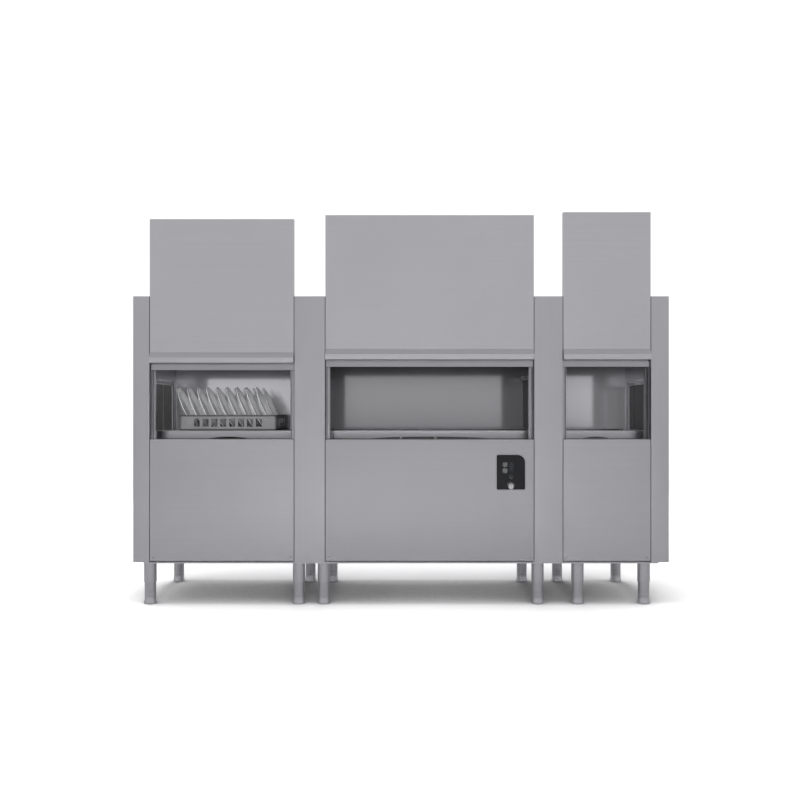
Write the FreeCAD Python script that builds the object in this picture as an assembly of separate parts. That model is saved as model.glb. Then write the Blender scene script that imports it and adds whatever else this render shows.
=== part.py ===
# Rack conveyor dishwasher: prewash, wash and rinse modules bolted into one tunnel machine.
# Millimetres, +Z up, front faces -Y, racks travel towards +X (left to right).
# Origin: floor level, centre of the footprint.
import FreeCAD, Part
import os
from math import atan2, cos, degrees, hypot, radians, sin

Vector = FreeCAD.Vector
os.makedirs("parts", exist_ok=True)

# ---------------------------------------------------------------- driving dimensions
LENGTH, DEPTH, HEIGHT = 2700.0, 770.0, 1560.0
LEFT, RIGHT = -LENGTH / 2, LENGTH / 2
FRONT, BACK = -DEPTH / 2, DEPTH / 2
JOINT_1 = LEFT + 900.0            # prewash to wash
JOINT_2 = JOINT_1 + 1200.0        # wash to rinse
SHEET, SKIN = 1.5, 1.2            # cabinet sheet; door and panel sheet
PROUD = 20.0                      # door grip and wall spacers stand this far proud
BASE_BOTTOM, BASE_TOP = 212.0, 252.0
SHELL_BOTTOM = 220.0              # bottom of posts and end panels
PANEL_BOTTOM, SILL = 226.0, 838.0
DECK = SILL + SHEET               # top of the tank flanges
RAIL_TOP = 880.0
CEILING = 1480.0
CHAMBER_FRONT, CHAMBER_BACK = -326.0, 296.0
POST_BACK = -328.0
END_WALL = RIGHT - 50.0           # outer face of the inner end skins
PASS_HALF, PASS_BOTTOM, PASS_TOP = 262.0, 876.0, 1150.0     # rack passage
END_ROD_X, END_ROD_Z = 1309.0, 1142.0    # curtain rods of the two end passages
DIVIDER_RODS = (-425.0, 700.0)           # curtain rods beside the zone dividers
DIVIDER_ROD_Z = 1172.0
LEG_X = (-1281.0, -521.0, -394.0, 698.0, 902.0, 1240.0)
LEG_Y = (-315.0, 305.0)

# left and right ends of each module: cabinet, and the space inside it
CABINETS = {"prewash": (LEFT, JOINT_1), "wash": (JOINT_1, JOINT_2), "rinse": (JOINT_2, RIGHT)}
MODULES = {"prewash": (2 - END_WALL, JOINT_1 - 2), "wash": (JOINT_1 + 2, JOINT_2 - 2),
           "rinse": (JOINT_2 + 2, END_WALL - 2)}
# roof spans, with a narrow seam at the joints
SEAM = 0.6
ROOFS = {"prewash": (LEFT, JOINT_1 - SEAM), "wash": (JOINT_1 + SEAM, JOINT_2 - SEAM),
         "rinse": (JOINT_2 + SEAM, RIGHT)}

# door: left, right, then bottom and top when raised; the lower panels share left and right
DOORS = {"prewash": (-1266.0, -540.0, 1189.0, 1949.0),
         "wash": (-381.0, 669.5, 1206.0, 1969.0),
         "rinse": (817.5, 1258.0, 1206.0, 1984.0)}
DOOR_GAP = 2.0
DOOR_FOLD_Y = -352.6              # back edge of the door skin's folds
GRIP_TOP, GRIP_MID, GRIP_LOW, LIP_TOP = 88.0, 61.0, 35.0, 28.0   # above the door's bottom
GUIDE_WIDTH, GUIDE_GAP = 18.0, 3.0
DRUM_RADIUS, DRUM_Y, DRUM_Z = 22.0, -318.0, 1530.0

TANK_BOTTOM, SUMP_DEPTH = 560.0, 40.0
TANK_FRONT, TANK_BACK = -322.0, 294.0
SUMPS = {"prewash": (-1170.0, -930.0), "wash": (-150.0, 90.0), "rinse": (815.0, 965.0)}
STANDPIPES = {"prewash": -1125.0, "wash": -105.0, "rinse": 880.0}

# pumps: left face of each casing, shaft axis
PUMPS = {"prewash": -1000.0, "wash": 20.0}
PUMP_Y, PUMP_Z = 60.0, 345.0
SUCTIONS = {name: x - 50.0 for name, x in PUMPS.items()}
BOILER_X, BOILER_Y, BOILER_RADIUS = 1080.0, 150.0, 105.0
RISERS = {"prewash": PUMPS["prewash"] + 40, "wash": PUMPS["wash"] + 40, "rinse": BOILER_X}
RISER_Y, LOW_ARM_Z, HIGH_ARM_Z = 345.0, 801.0, 1383.0
# radius of the stub behind each arm manifold, radius of the riser pipe
FEEDS = {"prewash": (18.0, 20.0), "wash": (18.0, 20.0), "rinse": (12.0, 12.0)}
FEED_GAP = 0.5                    # around a stub where it leaves the chamber or tank

LEVER_X, LEVER_Z, LEVER_UP, LEVER_DOWN = 1150.0, 585.0, 250.0, 130.0
CRANK_X, CRANK_RADIUS = 900.0, 31.0
CRANK_Z = LEVER_Z - LEVER_DOWN
PIN_Z = CRANK_Z - CRANK_RADIUS
CONTROL_X, CONTROL_Z = 553.6, 673.5      # centre of the control fascia


# ---------------------------------------------------------------- helpers
def box(x0, x1, y0, y1, z0, z1):
    return Part.makeBox(x1 - x0, y1 - y0, z1 - z0, Vector(x0, y0, z0))


def cylinder(axis, x, y, z, radius, length):
    """Cylinder from its start point along +axis."""
    direction = {"x": Vector(1, 0, 0), "y": Vector(0, 1, 0), "z": Vector(0, 0, 1)}[axis]
    return Part.makeCylinder(radius, length, Vector(x, y, z), direction)


def fuse(items):
    shape = items[0]
    if len(items) > 1:
        shape = shape.multiFuse(items[1:])
    return shape.removeSplitter()


def offset_line(points, distance):
    """The polyline moved to its left, with mitred corners."""
    normals = []
    for (x0, y0), (x1, y1) in zip(points, points[1:]):
        length = hypot(x1 - x0, y1 - y0)
        normals.append(((y0 - y1) / length, (x1 - x0) / length))
    moved = []
    for (x, y), before, after in zip(points, normals[:1] + normals, normals + normals[-1:]):
        mitre = distance / (1 + before[0] * after[0] + before[1] * after[1])
        moved.append((x + mitre * (before[0] + after[0]), y + mitre * (before[1] + after[1])))
    return moved


def profile_x(points, x0, x1):
    """Closed (y, z) outline extruded along X."""
    ring = [Vector(x0, y, z) for y, z in points + points[:1]]
    return Part.Face(Part.makePolygon(ring)).extrude(Vector(x1 - x0, 0, 0))


def sheet_x(points, thickness, x0, x1):
    """Folded sheet: (y, z) polyline, thickness to its left, run along X."""
    return profile_x(points + offset_line(points, thickness)[::-1], x0, x1)


def pipe(points, radius, wall):
    """Round pipe along a polyline, with ball corners and open ends."""
    corners = [Vector(*point) for point in points]

    def run(run_radius, overrun):
        items = []
        for i, (start, end) in enumerate(zip(corners, corners[1:])):
            along = (end - start).normalize()
            first = start - along * overrun if i == 0 else start
            last = end + along * overrun if i == len(corners) - 2 else end
            items.append(Part.makeCylinder(run_radius, (last - first).Length, first, along))
            if i:
                items.append(Part.makeSphere(run_radius, start))
        return items[0] if len(items) == 1 else items[0].multiFuse(items[1:])
    return run(radius, 0).cut(run(radius - wall, 5.0))


def plate(x0, x1, z0, z1, y0, y1, radii):
    """Plate in XZ; corner radii at lower left, lower right, upper right, upper left."""
    corners = [Vector(x0, y0, z0), Vector(x1, y0, z0), Vector(x1, y0, z1), Vector(x0, y0, z1)]
    arcs = []
    for i, (corner, radius) in enumerate(zip(corners, radii)):
        back = (corners[i - 1] - corner).normalize() * radius
        ahead = (corners[(i + 1) % 4] - corner).normalize() * radius
        centre = corner + back + ahead
        middle = centre + (corner - centre).normalize() * radius
        arcs.append((corner + back, middle, corner + ahead))
    edges = []
    for i, arc in enumerate(arcs):
        edges.append(Part.Arc(*arc).toShape())
        edges.append(Part.makeLine(arc[2], arcs[(i + 1) % 4][0]))
    return Part.Face(Part.Wire(edges)).extrude(Vector(0, y1 - y0, 0))


def save(name, shapes):
    solids = [solid for shape in shapes for solid in shape.Solids]
    for solid in solids:
        assert solid.isValid() and solid.Volume > 0, name
    piece = solids[0] if len(solids) == 1 else Part.makeCompound(solids)
    piece.exportStep("parts/%s.step" % name)


def soften(shape, radius, pick):
    """Round the outer edge of folds: pick(a, b) chooses edges by their two end points."""
    chosen = []
    for edge in shape.Edges:
        if len(edge.Vertexes) != 2 or edge.Curve.TypeId != "Part::GeomLine":
            continue
        a, b = edge.Vertexes[0].Point, edge.Vertexes[1].Point
        if (b - a).Length > 4 * radius and pick(a, b):
            chosen.append(edge)
    rounded = shape.makeFillet(radius, chosen)
    assert rounded.isValid() and len(rounded.Solids) == len(shape.Solids)
    return rounded


def near(value, *targets):
    return any(abs(value - target) < 1e-4 for target in targets)


def guide_lefts(name):
    """Left edges of the two guides of a door."""
    left, right = DOORS[name][:2]
    return left + GUIDE_GAP, right - GUIDE_GAP - GUIDE_WIDTH


def feed_hole(name, y, z):
    """Tool for the hole where an arm's feed stub passes a rear wall."""
    return cylinder("y", RISERS[name], y - 10, z, FEEDS[name][0] + FEED_GAP, 20)


def rod_bore(x, z):
    """Tool for the bearing holes of a curtain rod."""
    return cylinder("y", x, -270, z, 5.06, 540)


# ---------------------------------------------------------------- base, legs and feet
def base_frame():
    steel, half = 2.0, 34.0           # sheet, half width of a rail
    front, back = LEG_Y[0] + half - steel, LEG_Y[1] - half + steel
    # left, right, and the (left, right) of the plates under what stands on the frame
    layout = [(-END_WALL, JOINT_1 - 2, [(PUMPS["prewash"], PUMPS["prewash"] + 240)]),
              (JOINT_1 + 2, JOINT_2 - 2, [(PUMPS["wash"], PUMPS["wash"] + 240), (392, 560)]),
              (JOINT_2 + 2, END_WALL, [(1006, 1154)])]
    frames = []
    for left, right, stands in layout:
        rails = [sheet_x([(y - half, BASE_BOTTOM), (y - half, BASE_TOP),
                          (y + half, BASE_TOP), (y + half, BASE_BOTTOM)], -steel, left, right)
                 for y in LEG_Y]
        cross = [box(x, x + steel, front, back, BASE_BOTTOM, BASE_TOP)
                 for x in (left, right - steel)]
        tops = [box(x0, x1, front, back, BASE_TOP - steel, BASE_TOP)
                for x0, x1 in [(left, left + 40), (right - 40, right)] + stands]
        lip = sheet_x([(LEG_Y[0] - half + steel, BASE_BOTTOM), (-373, BASE_BOTTOM),
                       (-373, BASE_BOTTOM + 6)], -steel, left, right)
        frames.append(fuse(rails + cross + tops + [lip]))
    save("base_frame", frames)


def legs_and_feet():
    foot_radius = 28.5
    legs, feet = [], []
    for x in LEG_X:
        for y in LEG_Y:
            tube = cylinder("z", x, y, 112, 31.5, 137.5)
            legs.append(tube.cut([cylinder("z", x, y, 105, 29.5, 141)]))
            stem = cylinder("z", x, y, 10, foot_radius, 140)
            pad = fuse([cylinder("z", x, y, 0, 31, 12),
                        Part.makeCone(31, foot_radius, 6, Vector(x, y, 12), Vector(0, 0, 1)),
                        cylinder("z", x, y, 146, 29.4, 4)])
            grooves = [Part.makeTorus(foot_radius, 1.2, Vector(x, y, z), Vector(0, 0, 1))
                       for z in (40, 60)]
            feet.append(fuse([stem, pad]).cut(grooves))
    save("leg_tubes", legs)
    save("adjustable_feet", feet)


# ---------------------------------------------------------------- cabinet
def post(left, right):
    """Front post; a side that faces another opening than the machine's end is left open."""
    left_open, right_open = left == LEFT, right == RIGHT
    left_open, right_open = not left_open, not right_open
    bottom, open_back = SHELL_BOTTOM, -352.0
    parts = [box(left, right, FRONT, FRONT + SHEET, bottom, HEIGHT),
             box(left, right, FRONT, POST_BACK, HEIGHT - SHEET, HEIGHT),
             box(left, left + SHEET, FRONT, open_back if left_open else POST_BACK,
                 bottom, HEIGHT),
             box(right - SHEET, right, FRONT, open_back if right_open else POST_BACK,
                 bottom, HEIGHT)]
    # rear returns
    if not left_open:
        parts.append(box(left, left + 22, POST_BACK - SHEET, POST_BACK, bottom, HEIGHT))
    if not right_open:
        parts.append(box(right - 22, right, POST_BACK - SHEET, POST_BACK, bottom, HEIGHT))
    parts.append(box(left, right, FRONT, -349, bottom, bottom + SHEET))
    # narrow flange behind the seam beside each lower panel
    if left_open:
        parts.append(box(left - 10, left + SHEET, -357, -355.5, 224, 836))
    if right_open:
        parts.append(box(right - SHEET, right + 10, -357, -355.5, 224, 836))

    def outer_fold(a, b):
        """The two vertical front edges and the top front edge."""
        upright = near(a.x, b.x) and near(a.x, left, right)
        top = near(a.z, HEIGHT) and near(b.z, HEIGHT)
        return near(a.y, FRONT) and near(b.y, FRONT) and (upright or top)
    return soften(fuse(parts), 2.5, outer_fold)


def posts():
    names = ("post_entry", "post_prewash_wash", "post_wash_rinse", "post_exit")
    lefts = [LEFT] + [door[1] + DOOR_GAP for door in DOORS.values()]
    rights = [door[0] - DOOR_GAP for door in DOORS.values()] + [RIGHT]
    for name, left, right in zip(names, lefts, rights):
        save(name, [post(left, right)])


def end_panels():
    """Double-skinned left end with the rack passage, and its mirror image."""
    inside = SHEET - END_WALL         # chamber side of the inner skin
    passage = (-PASS_HALF, PASS_HALF, PASS_BOTTOM, PASS_TOP)
    outer = box(LEFT, LEFT + SHEET, POST_BACK, BACK, SHELL_BOTTOM, HEIGHT - SHEET)
    outer = outer.cut([box(LEFT - 1, LEFT + 5, *passage)])
    inner = box(-END_WALL, inside, CHAMBER_FRONT - 2, CHAMBER_BACK, DECK, CEILING)
    inner = inner.cut([box(-1310, -1290, *passage)])
    collar = box(LEFT, inside, -PASS_HALF - SHEET, PASS_HALF + SHEET,
                 PASS_BOTTOM - SHEET, PASS_TOP + SHEET)
    collar = collar.cut([box(LEFT - 1, -1290, *passage)])
    rear = box(LEFT, LEFT + 30, BACK - 2 * SHEET, BACK - SHEET, SHELL_BOTTOM, HEIGHT - SHEET)
    # the curtain rod of the passage turns in its side walls
    panel = fuse([outer, inner, collar, rear]).cut([rod_bore(-END_ROD_X, END_ROD_Z)])
    save("end_panels", [panel, panel.mirror(Vector(0, 0, 0), Vector(1, 0, 0))])


def rear_panels():
    """Rear sheets with stiffeners and louvre slots, and conical wall spacers."""
    vents = {"prewash": [-900], "wash": [-60, 360], "rinse": [1050]}
    end_inset = SHEET + 0.3
    rear = []
    for name, (left, right) in ROOFS.items():
        left, right = max(left, LEFT + end_inset), min(right, RIGHT - end_inset)
        sheets = [box(left, right, BACK - SHEET, BACK, 222, HEIGHT - SHEET)]
        sheets += [box(x, x + SHEET, BACK - 14, BACK - SHEET, 300, 1500)
                   for x in (left + 40, right - 40 - SHEET)]
        slots = [box(x - 90, x + 90, BACK - 5, BACK + 5, z, z + 7)
                 for x in vents[name] for z in range(330, 441, 22)]
        rear.append(fuse(sheets).cut(slots))
        for z in (420.0, 1380.0):
            for x in (left + 70, right - 70):
                rear.append(Part.makeCone(22, 16, PROUD, Vector(x, BACK, z), Vector(0, 1, 0)))
    save("rear_panels", rear)


def roof_panels():
    roof = []
    lip_front, under = -347.0, HEIGHT - SHEET
    for name, (left, right) in ROOFS.items():
        gap_left, gap_right = DOORS[name][0] - DOOR_GAP, DOORS[name][1] + DOOR_GAP
        roof.append(fuse([box(left, right, POST_BACK, BACK, under, HEIGHT),
                          box(gap_left, gap_right, lip_front, POST_BACK, under, HEIGHT),
                          box(gap_left, gap_right, lip_front, lip_front + SHEET, 1540, under)]))
    save("roof_panels", roof)


def lower_panels():
    flange_y = FRONT + 26
    bottom, top = PANEL_BOTTOM, SILL - 0.5
    for name, (left, right, _, _) in DOORS.items():
        parts = [box(left, right, FRONT, FRONT + SKIN, bottom, top),
                 box(left, left + SKIN, FRONT, flange_y, bottom, top),
                 box(right - SKIN, right, FRONT, flange_y, bottom, top),
                 box(left, right, FRONT, flange_y, bottom, bottom + SKIN),
                 box(left, right, FRONT, FRONT + 40, top - SKIN, top)]
        panel = soften(fuse(parts), 2.0, lambda a, b: near(a.y, FRONT) and near(b.y, FRONT))
        if name == "wash":
            # opening for the control housing
            panel = panel.cut([box(CONTROL_X - 58, CONTROL_X + 58, FRONT - 5, FRONT + 5,
                                   CONTROL_Z - 83, CONTROL_Z + 83)])
        save("lower_panel_" + name, [panel])


# ---------------------------------------------------------------- wash chamber
def chamber_liners():
    liners = []
    for name, (left, right) in MODULES.items():
        first_guide, last_guide = guide_lefts(name)
        front = box(left, right, CHAMBER_FRONT - SHEET, CHAMBER_FRONT, DECK, CEILING)
        front = front.cut([box(first_guide + GUIDE_WIDTH, last_guide,
                               CHAMBER_FRONT - 5, CHAMBER_FRONT + 5, 800, 1216)])
        liner = fuse([front,
                      box(left, right, CHAMBER_FRONT - SHEET, CHAMBER_BACK,
                          CEILING - SHEET, CEILING),
                      box(left, right, CHAMBER_BACK - SHEET, CHAMBER_BACK, DECK, CEILING)])
        liners.append(liner.cut([feed_hole(name, CHAMBER_BACK, HIGH_ARM_Z)]))
    save("chamber_liners", liners)


def zone_dividers():
    """Walls at the module joints, each with two lugs that carry a curtain rod."""
    dividers = []
    for joint, rod_x in zip((JOINT_1, JOINT_2), DIVIDER_RODS):
        wall = box(joint - SHEET, joint + SHEET, CHAMBER_FRONT - SHEET, CHAMBER_BACK,
                   DECK, CEILING)
        wall = wall.cut([box(joint - 5, joint + 5, -PASS_HALF, PASS_HALF, 830, PASS_TOP)])
        lug_left, lug_right = min(joint, rod_x - 9), max(joint, rod_x + 9)
        lugs = [box(lug_left, lug_right, y, y + 3, DIVIDER_ROD_Z - 9, DIVIDER_ROD_Z + 9)
                for y in (-258.5, 255.5)]
        dividers.append(fuse([wall] + lugs).cut([rod_bore(rod_x, DIVIDER_ROD_Z)]))
    save("zone_dividers", dividers)


# ---------------------------------------------------------------- doors
def door_guides():
    """A U channel each side of a door, open to the front."""
    bottom, top, back = 840, 1498, -327.5
    guides = []
    for name, (left, right, _, _) in DOORS.items():
        first, last = guide_lefts(name)
        # guide left; (left, right) of its post bracket and of its bearing plate; door edge
        sides = [(first, (left - DOOR_GAP, first), (left - DOOR_GAP, left + 1), left),
                 (last, (last + GUIDE_WIDTH, right + DOOR_GAP),
                  (right - 1, right + DOOR_GAP), right)]
        for start, bracket, bearing, edge in sides:
            end = start + GUIDE_WIDTH
            guide = fuse([box(start, end, back - SHEET, back, bottom, top),
                          box(start, start + SHEET, -350, back, bottom, top),
                          box(end - SHEET, end, -350, back, bottom, top),
                          box(*bracket, -331.5, -328.2, bottom, 1552),
                          box(*bearing, -345, -290, 1495, 1552)])
            guides.append(guide.cut([cylinder("x", edge - 20, DRUM_Y, DRUM_Z, 6.05, 40)]))
    save("door_guides", guides)


def door_skin(name):
    """Flat front, flaring out at the bottom into a grip that folds back under itself."""
    left, right, bottom, top = DOORS[name]
    grip_front = FRONT - PROUD
    profile = [(FRONT, top), (FRONT, bottom + GRIP_TOP), (grip_front, bottom + GRIP_MID),
               (grip_front, bottom + GRIP_LOW), (DOOR_FOLD_Y, bottom + GRIP_LOW)]
    skin = sheet_x(profile, SKIN, left, right)
    ends = [profile_x(profile + [(DOOR_FOLD_Y, top)], x, x + SKIN)
            for x in (left, right - SKIN)]
    skin = fuse([skin, box(left, right, FRONT, DOOR_FOLD_Y, top - SKIN, top)] + ends)

    def outer_fold(a, b):
        flat = bottom + GRIP_TOP - 1
        on_side = (near(a.x, b.x) and near(a.x, left, right)
                   and a.y < -370 and b.y < -370 and a.z > flat and b.z > flat)
        on_top = near(a.z, top) and near(b.z, top) and near(a.y, FRONT) and near(b.y, FRONT)
        on_grip = (near(a.z, b.z) and near(a.z, bottom + GRIP_LOW)
                   and near(a.y, grip_front) and near(b.y, grip_front))
        return on_side or on_top or on_grip
    save("door_%s_skin" % name, [soften(skin, 2.0, outer_fold)])


def door_liner(name):
    """Back pan with a lip folded forward and up, and a slider for each guide."""
    left, right, bottom, top = DOORS[name]
    lip_front, pan_front = -364.0, -350.8
    pan = [sheet_x([(lip_front, bottom + LIP_TOP), (lip_front, bottom), (pan_front, bottom),
                    (pan_front, top - 1)], SKIN, left + 1, right - 1),
           # fold inside the skin at the top
           box(left + SKIN + 0.4, right - SKIN - 0.4, -366, -351.5, top - 4, top - 2.8)]
    pan += [box(x, x + SKIN, lip_front, -351.0, bottom, bottom + LIP_TOP)
            for x in (left + 1, right - SKIN - 1)]
    sliders = [box(x + 3.5, x + GUIDE_WIDTH - 3.5, pan_front, -331.5, bottom + 4, bottom + 254)
               for x in guide_lefts(name)]
    save("door_%s_liner" % name, [fuse(pan)] + sliders)


def balance_shaft(name):
    """Spring balance shaft above the door: a flanged cable drum at each end."""
    left, right = DOORS[name][:2]
    start = left - 4.5
    parts = [cylinder("x", start, DRUM_Y, DRUM_Z, 6.0, right - left + 9)]
    for guide in guide_lefts(name):
        centre = guide + GUIDE_WIDTH / 2
        parts.append(cylinder("x", centre - 7, DRUM_Y, DRUM_Z, DRUM_RADIUS, 14))
        parts.append(cylinder("x", centre - 9, DRUM_Y, DRUM_Z, 25, 2))
        parts.append(cylinder("x", centre + 7, DRUM_Y, DRUM_Z, 25, 2))
    parts.append(cylinder("x", (left + right) / 2 - 120, DRUM_Y, DRUM_Z, 16, 240))
    notch = cylinder("x", start, DRUM_Y, DRUM_Z + 6, 1.5, 2)
    save("balance_shaft_" + name, [fuse(parts).cut([notch])])


def door_cables():
    cables = []
    for name, (_, _, bottom, _) in DOORS.items():
        for guide in guide_lefts(name):
            cables.append(cylinder("z", guide + GUIDE_WIDTH / 2, DRUM_Y - DRUM_RADIUS - 1.6,
                                   bottom + 254, 1.5, DRUM_Z - bottom - 254))
    save("door_cables", cables)


# ---------------------------------------------------------------- tanks, strainers
def wash_tanks():
    sump_front, sump_back, bottom = -60, 180, TANK_BOTTOM
    sump_bottom = bottom - SUMP_DEPTH
    tanks = []
    for name, (left, right) in MODULES.items():
        tank_left, tank_right = left + 2, right - 2
        sump_left, sump_right = SUMPS[name]
        outer = fuse([
            box(tank_left, tank_right, TANK_FRONT, TANK_BACK, bottom, DECK),
            box(sump_left, sump_right, sump_front, sump_back, sump_bottom, bottom + 5),
            box(left, right, CHAMBER_FRONT - SHEET, CHAMBER_BACK, SILL, DECK),
            box(*DOORS[name][:2], -381, TANK_FRONT, SILL, DECK)])
        tools = [box(tank_left + SHEET, tank_right - SHEET, TANK_FRONT + SHEET,
                     TANK_BACK - SHEET, bottom + SHEET, SILL + 20),
                 box(sump_left + SHEET, sump_right - SHEET, sump_front + SHEET,
                     sump_back - SHEET, sump_bottom + SHEET, bottom + 10),
                 cylinder("z", STANDPIPES[name], PUMP_Y, bottom - 60, 18.6, 60)]
        if name in SUCTIONS:
            tools.append(cylinder("z", SUCTIONS[name], PUMP_Y, bottom - 60, 22, 60))
        tools.append(feed_hole(name, TANK_BACK, LOW_ARM_Z))
        if name == "rinse":
            # bearing of the drive lever's shaft
            tools.append(cylinder("y", LEVER_X, TANK_FRONT - 10, LEVER_Z, 10.06, 20))
        tanks.append(outer.cut(tools))
    save("wash_tanks", tanks)


def tank_strainers():
    """Trays with a grid of rectangular holes."""
    front, back, bottom = -316, 288, 742.0
    top = bottom + 24
    strainers = []
    for name, (left, right) in MODULES.items():
        left, right = left + 8, right - 8
        tray = fuse([box(left, right, front, back, bottom, bottom + SHEET),
                     box(left, right, front, front + SHEET, bottom, top),
                     box(left, right, back - SHEET, back, bottom, top),
                     box(left, left + SHEET, front, back, bottom, top),
                     box(right - SHEET, right, front, back, bottom, top)])
        columns = int((right - left - 60) / 62)
        holes = []
        for i in range(columns):
            x = left + 40 + i * (right - left - 80) / columns
            for j in range(7):
                y = -290 + j * 82
                holes.append(box(x, x + 44, y, y + 60, bottom - 2, bottom + 5))
        if name == "rinse":
            # slot for the swing of the drive lever
            holes.append(box(LEVER_X - 85, LEVER_X + 85, -12, 32, bottom - 2, bottom + 5))
        strainers.append(tray.cut(holes))
    save("tank_strainers", strainers)


# ---------------------------------------------------------------- spray arms
# arm centres; manifold left and right; manifold front and back; arm width and height
ARMS = {"prewash": ((-1170, -1010, -850, -690), (-1190, -670), (232.0, 262.0), (40, 22)),
        "wash": ((-370, -190, -10, 170, 350, 530), (-390, 550), (232.0, 262.0), (40, 22)),
        "rinse": ((880, 1010), (868, 1092), (236.0, 256.0), (20, 16))}


def arm_set(name, z, facing):
    """A rear manifold with arms across the tunnel; nozzles face up (1) or down (-1)."""
    centres, manifold_x, (manifold_front, manifold_back), (width, height) = ARMS[name]
    half = height / 2
    parts = [box(*manifold_x, manifold_front, manifold_back, z - half - 3, z + half + 3)]
    for x in centres:
        parts.append(box(x - width / 2, x + width / 2, -228, manifold_front,
                         z - half, z + half))
        for k in range(7):
            parts.append(Part.makeCone(7, 4, 8, Vector(x, -200 + k * 64, z + facing * half),
                                       Vector(0, 0, facing)))
    # feed stub, ending just short of the riser pipe
    stub_radius, riser_radius = FEEDS[name]
    start, end = manifold_back - 5, RISER_Y - riser_radius - 0.2
    parts.append(cylinder("y", RISERS[name], start, z, stub_radius, end - start))
    return fuse(parts)


def spray_arms():
    save("upper_wash_arms", [arm_set(name, HIGH_ARM_Z, -1) for name in PUMPS])
    save("lower_wash_arms", [arm_set(name, LOW_ARM_Z, 1) for name in PUMPS])
    save("rinse_arms", [arm_set("rinse", HIGH_ARM_Z, -1), arm_set("rinse", LOW_ARM_Z, 1)])


# ---------------------------------------------------------------- pumps
def pump_cylinder(x, radius, length):
    return cylinder("x", x, PUMP_Y, PUMP_Z, radius, length)


def pump_casing(x):
    outer = fuse([pump_cylinder(x, 92, 80),
                  cylinder("z", x + 40, PUMP_Y, PUMP_Z, 24, 100),
                  pump_cylinder(x - 14, 32, 16),
                  box(x + 10, x + 70, PUMP_Y - 60, PUMP_Y + 60, BASE_TOP, PUMP_Z - 60)])
    return outer.cut([pump_cylinder(x + 6, 78, 60), pump_cylinder(x - 20, 22, 40),
                      cylinder("z", x + 40, PUMP_Y, PUMP_Z + 60, 18, 60),
                      pump_cylinder(x + 50, 10.3, 50)])


def pump_motor(x):
    """Motor body, fan cover, foot, terminal box and a rib on top."""
    outer = fuse([pump_cylinder(x + 80, 68, 190), pump_cylinder(x + 270, 60, 44),
                  box(x + 110, x + 230, PUMP_Y - 55, PUMP_Y + 55, BASE_TOP, PUMP_Z - 50),
                  box(x + 120, x + 210, PUMP_Y - 40, PUMP_Y + 40, PUMP_Z + 50, PUMP_Z + 100),
                  box(x + 92, x + 262, PUMP_Y - 1.5, PUMP_Y + 1.5, PUMP_Z + 60, PUMP_Z + 76)])
    return outer.cut([pump_cylinder(x + 70, 10.3, 210), pump_cylinder(x + 272, 54, 36),
                      pump_cylinder(x + 300, 30, 30)])


def pump_rotor(x):
    """Impeller disc and hub, shaft and fan hub, with six blades on impeller and fan."""
    parts = [pump_cylinder(x + 30, 62, 4), pump_cylinder(x + 30, 20, 26),
             pump_cylinder(x + 12, 10, 285), pump_cylinder(x + 280, 18, 10)]
    axis_point, axis = Vector(x, PUMP_Y, PUMP_Z), Vector(1, 0, 0)
    for k in range(6):
        vane = box(x + 14, x + 31, PUMP_Y - 2, PUMP_Y + 2, PUMP_Z + 8, PUMP_Z + 60)
        vane.rotate(axis_point, axis, 60 * k)
        blade = box(x + 281, x + 292, PUMP_Y - 1.2, PUMP_Y + 1.2, PUMP_Z + 14, PUMP_Z + 48)
        blade.rotate(axis_point, axis, 60 * k + 20)
        parts += [vane, blade]
    return fuse(parts)


def pumps():
    for name, x in PUMPS.items():
        save("%s_pump_rotor" % name, [pump_rotor(x)])
    save("pump_casings", [pump_casing(x) for x in PUMPS.values()])
    save("pump_motors", [pump_motor(x) for x in PUMPS.values()])


def pump_pipework():
    pipes = []
    for name, x in PUMPS.items():
        suction, riser = SUCTIONS[name], RISERS[name]
        pipes.append(pipe([(suction, PUMP_Y, TANK_BOTTOM - SUMP_DEPTH),
                           (suction, PUMP_Y, PUMP_Z), (x - 14, PUMP_Y, PUMP_Z)], 26, 3))
        pipes.append(pipe([(riser, PUMP_Y, PUMP_Z + 100), (riser, PUMP_Y, 485),
                           (riser, RISER_Y, 485), (riser, RISER_Y, 1402)], FEEDS[name][1], 2))
    pipes.append(pipe([(BOILER_X, BOILER_Y + BOILER_RADIUS + 0.5, 470),
                       (BOILER_X, RISER_Y, 470), (BOILER_X, RISER_Y, 1394)],
                      FEEDS["rinse"][1], 1.5))
    save("pump_pipework", pipes)


# ---------------------------------------------------------------- boiler, heaters, drain, inlet
def boiler():
    x, y = BOILER_X, BOILER_Y
    outer = fuse([cylinder("z", x, y, 262, BOILER_RADIUS, 270),
                  Part.makeCone(BOILER_RADIUS, 60, 18, Vector(x, y, 532), Vector(0, 0, 1)),
                  box(x - 60, x + 60, y - 70, y + 70, 253, 262)])
    save("boiler", [outer.cut([cylinder("z", x, y, 264.5, 102, 266),
                               cylinder("z", x, y, 240, 42, 40),
                               cylinder("y", x, y + 90, 470, 10, 30),
                               cylinder("x", x + 90, y, 345, 6, 30)])])


def hairpin(start, end, offset):
    """Two parallel rods joined at the far end."""
    start, end, offset = Vector(*start), Vector(*end), Vector(*offset)
    along, radius = end - start, 5
    return [Part.makeCylinder(radius, along.Length, start, along),
            Part.makeCylinder(radius, along.Length, start + offset, along),
            Part.makeCylinder(radius, offset.Length, end, offset),
            Part.makeSphere(radius, end), Part.makeSphere(radius, end + offset)]


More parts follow.
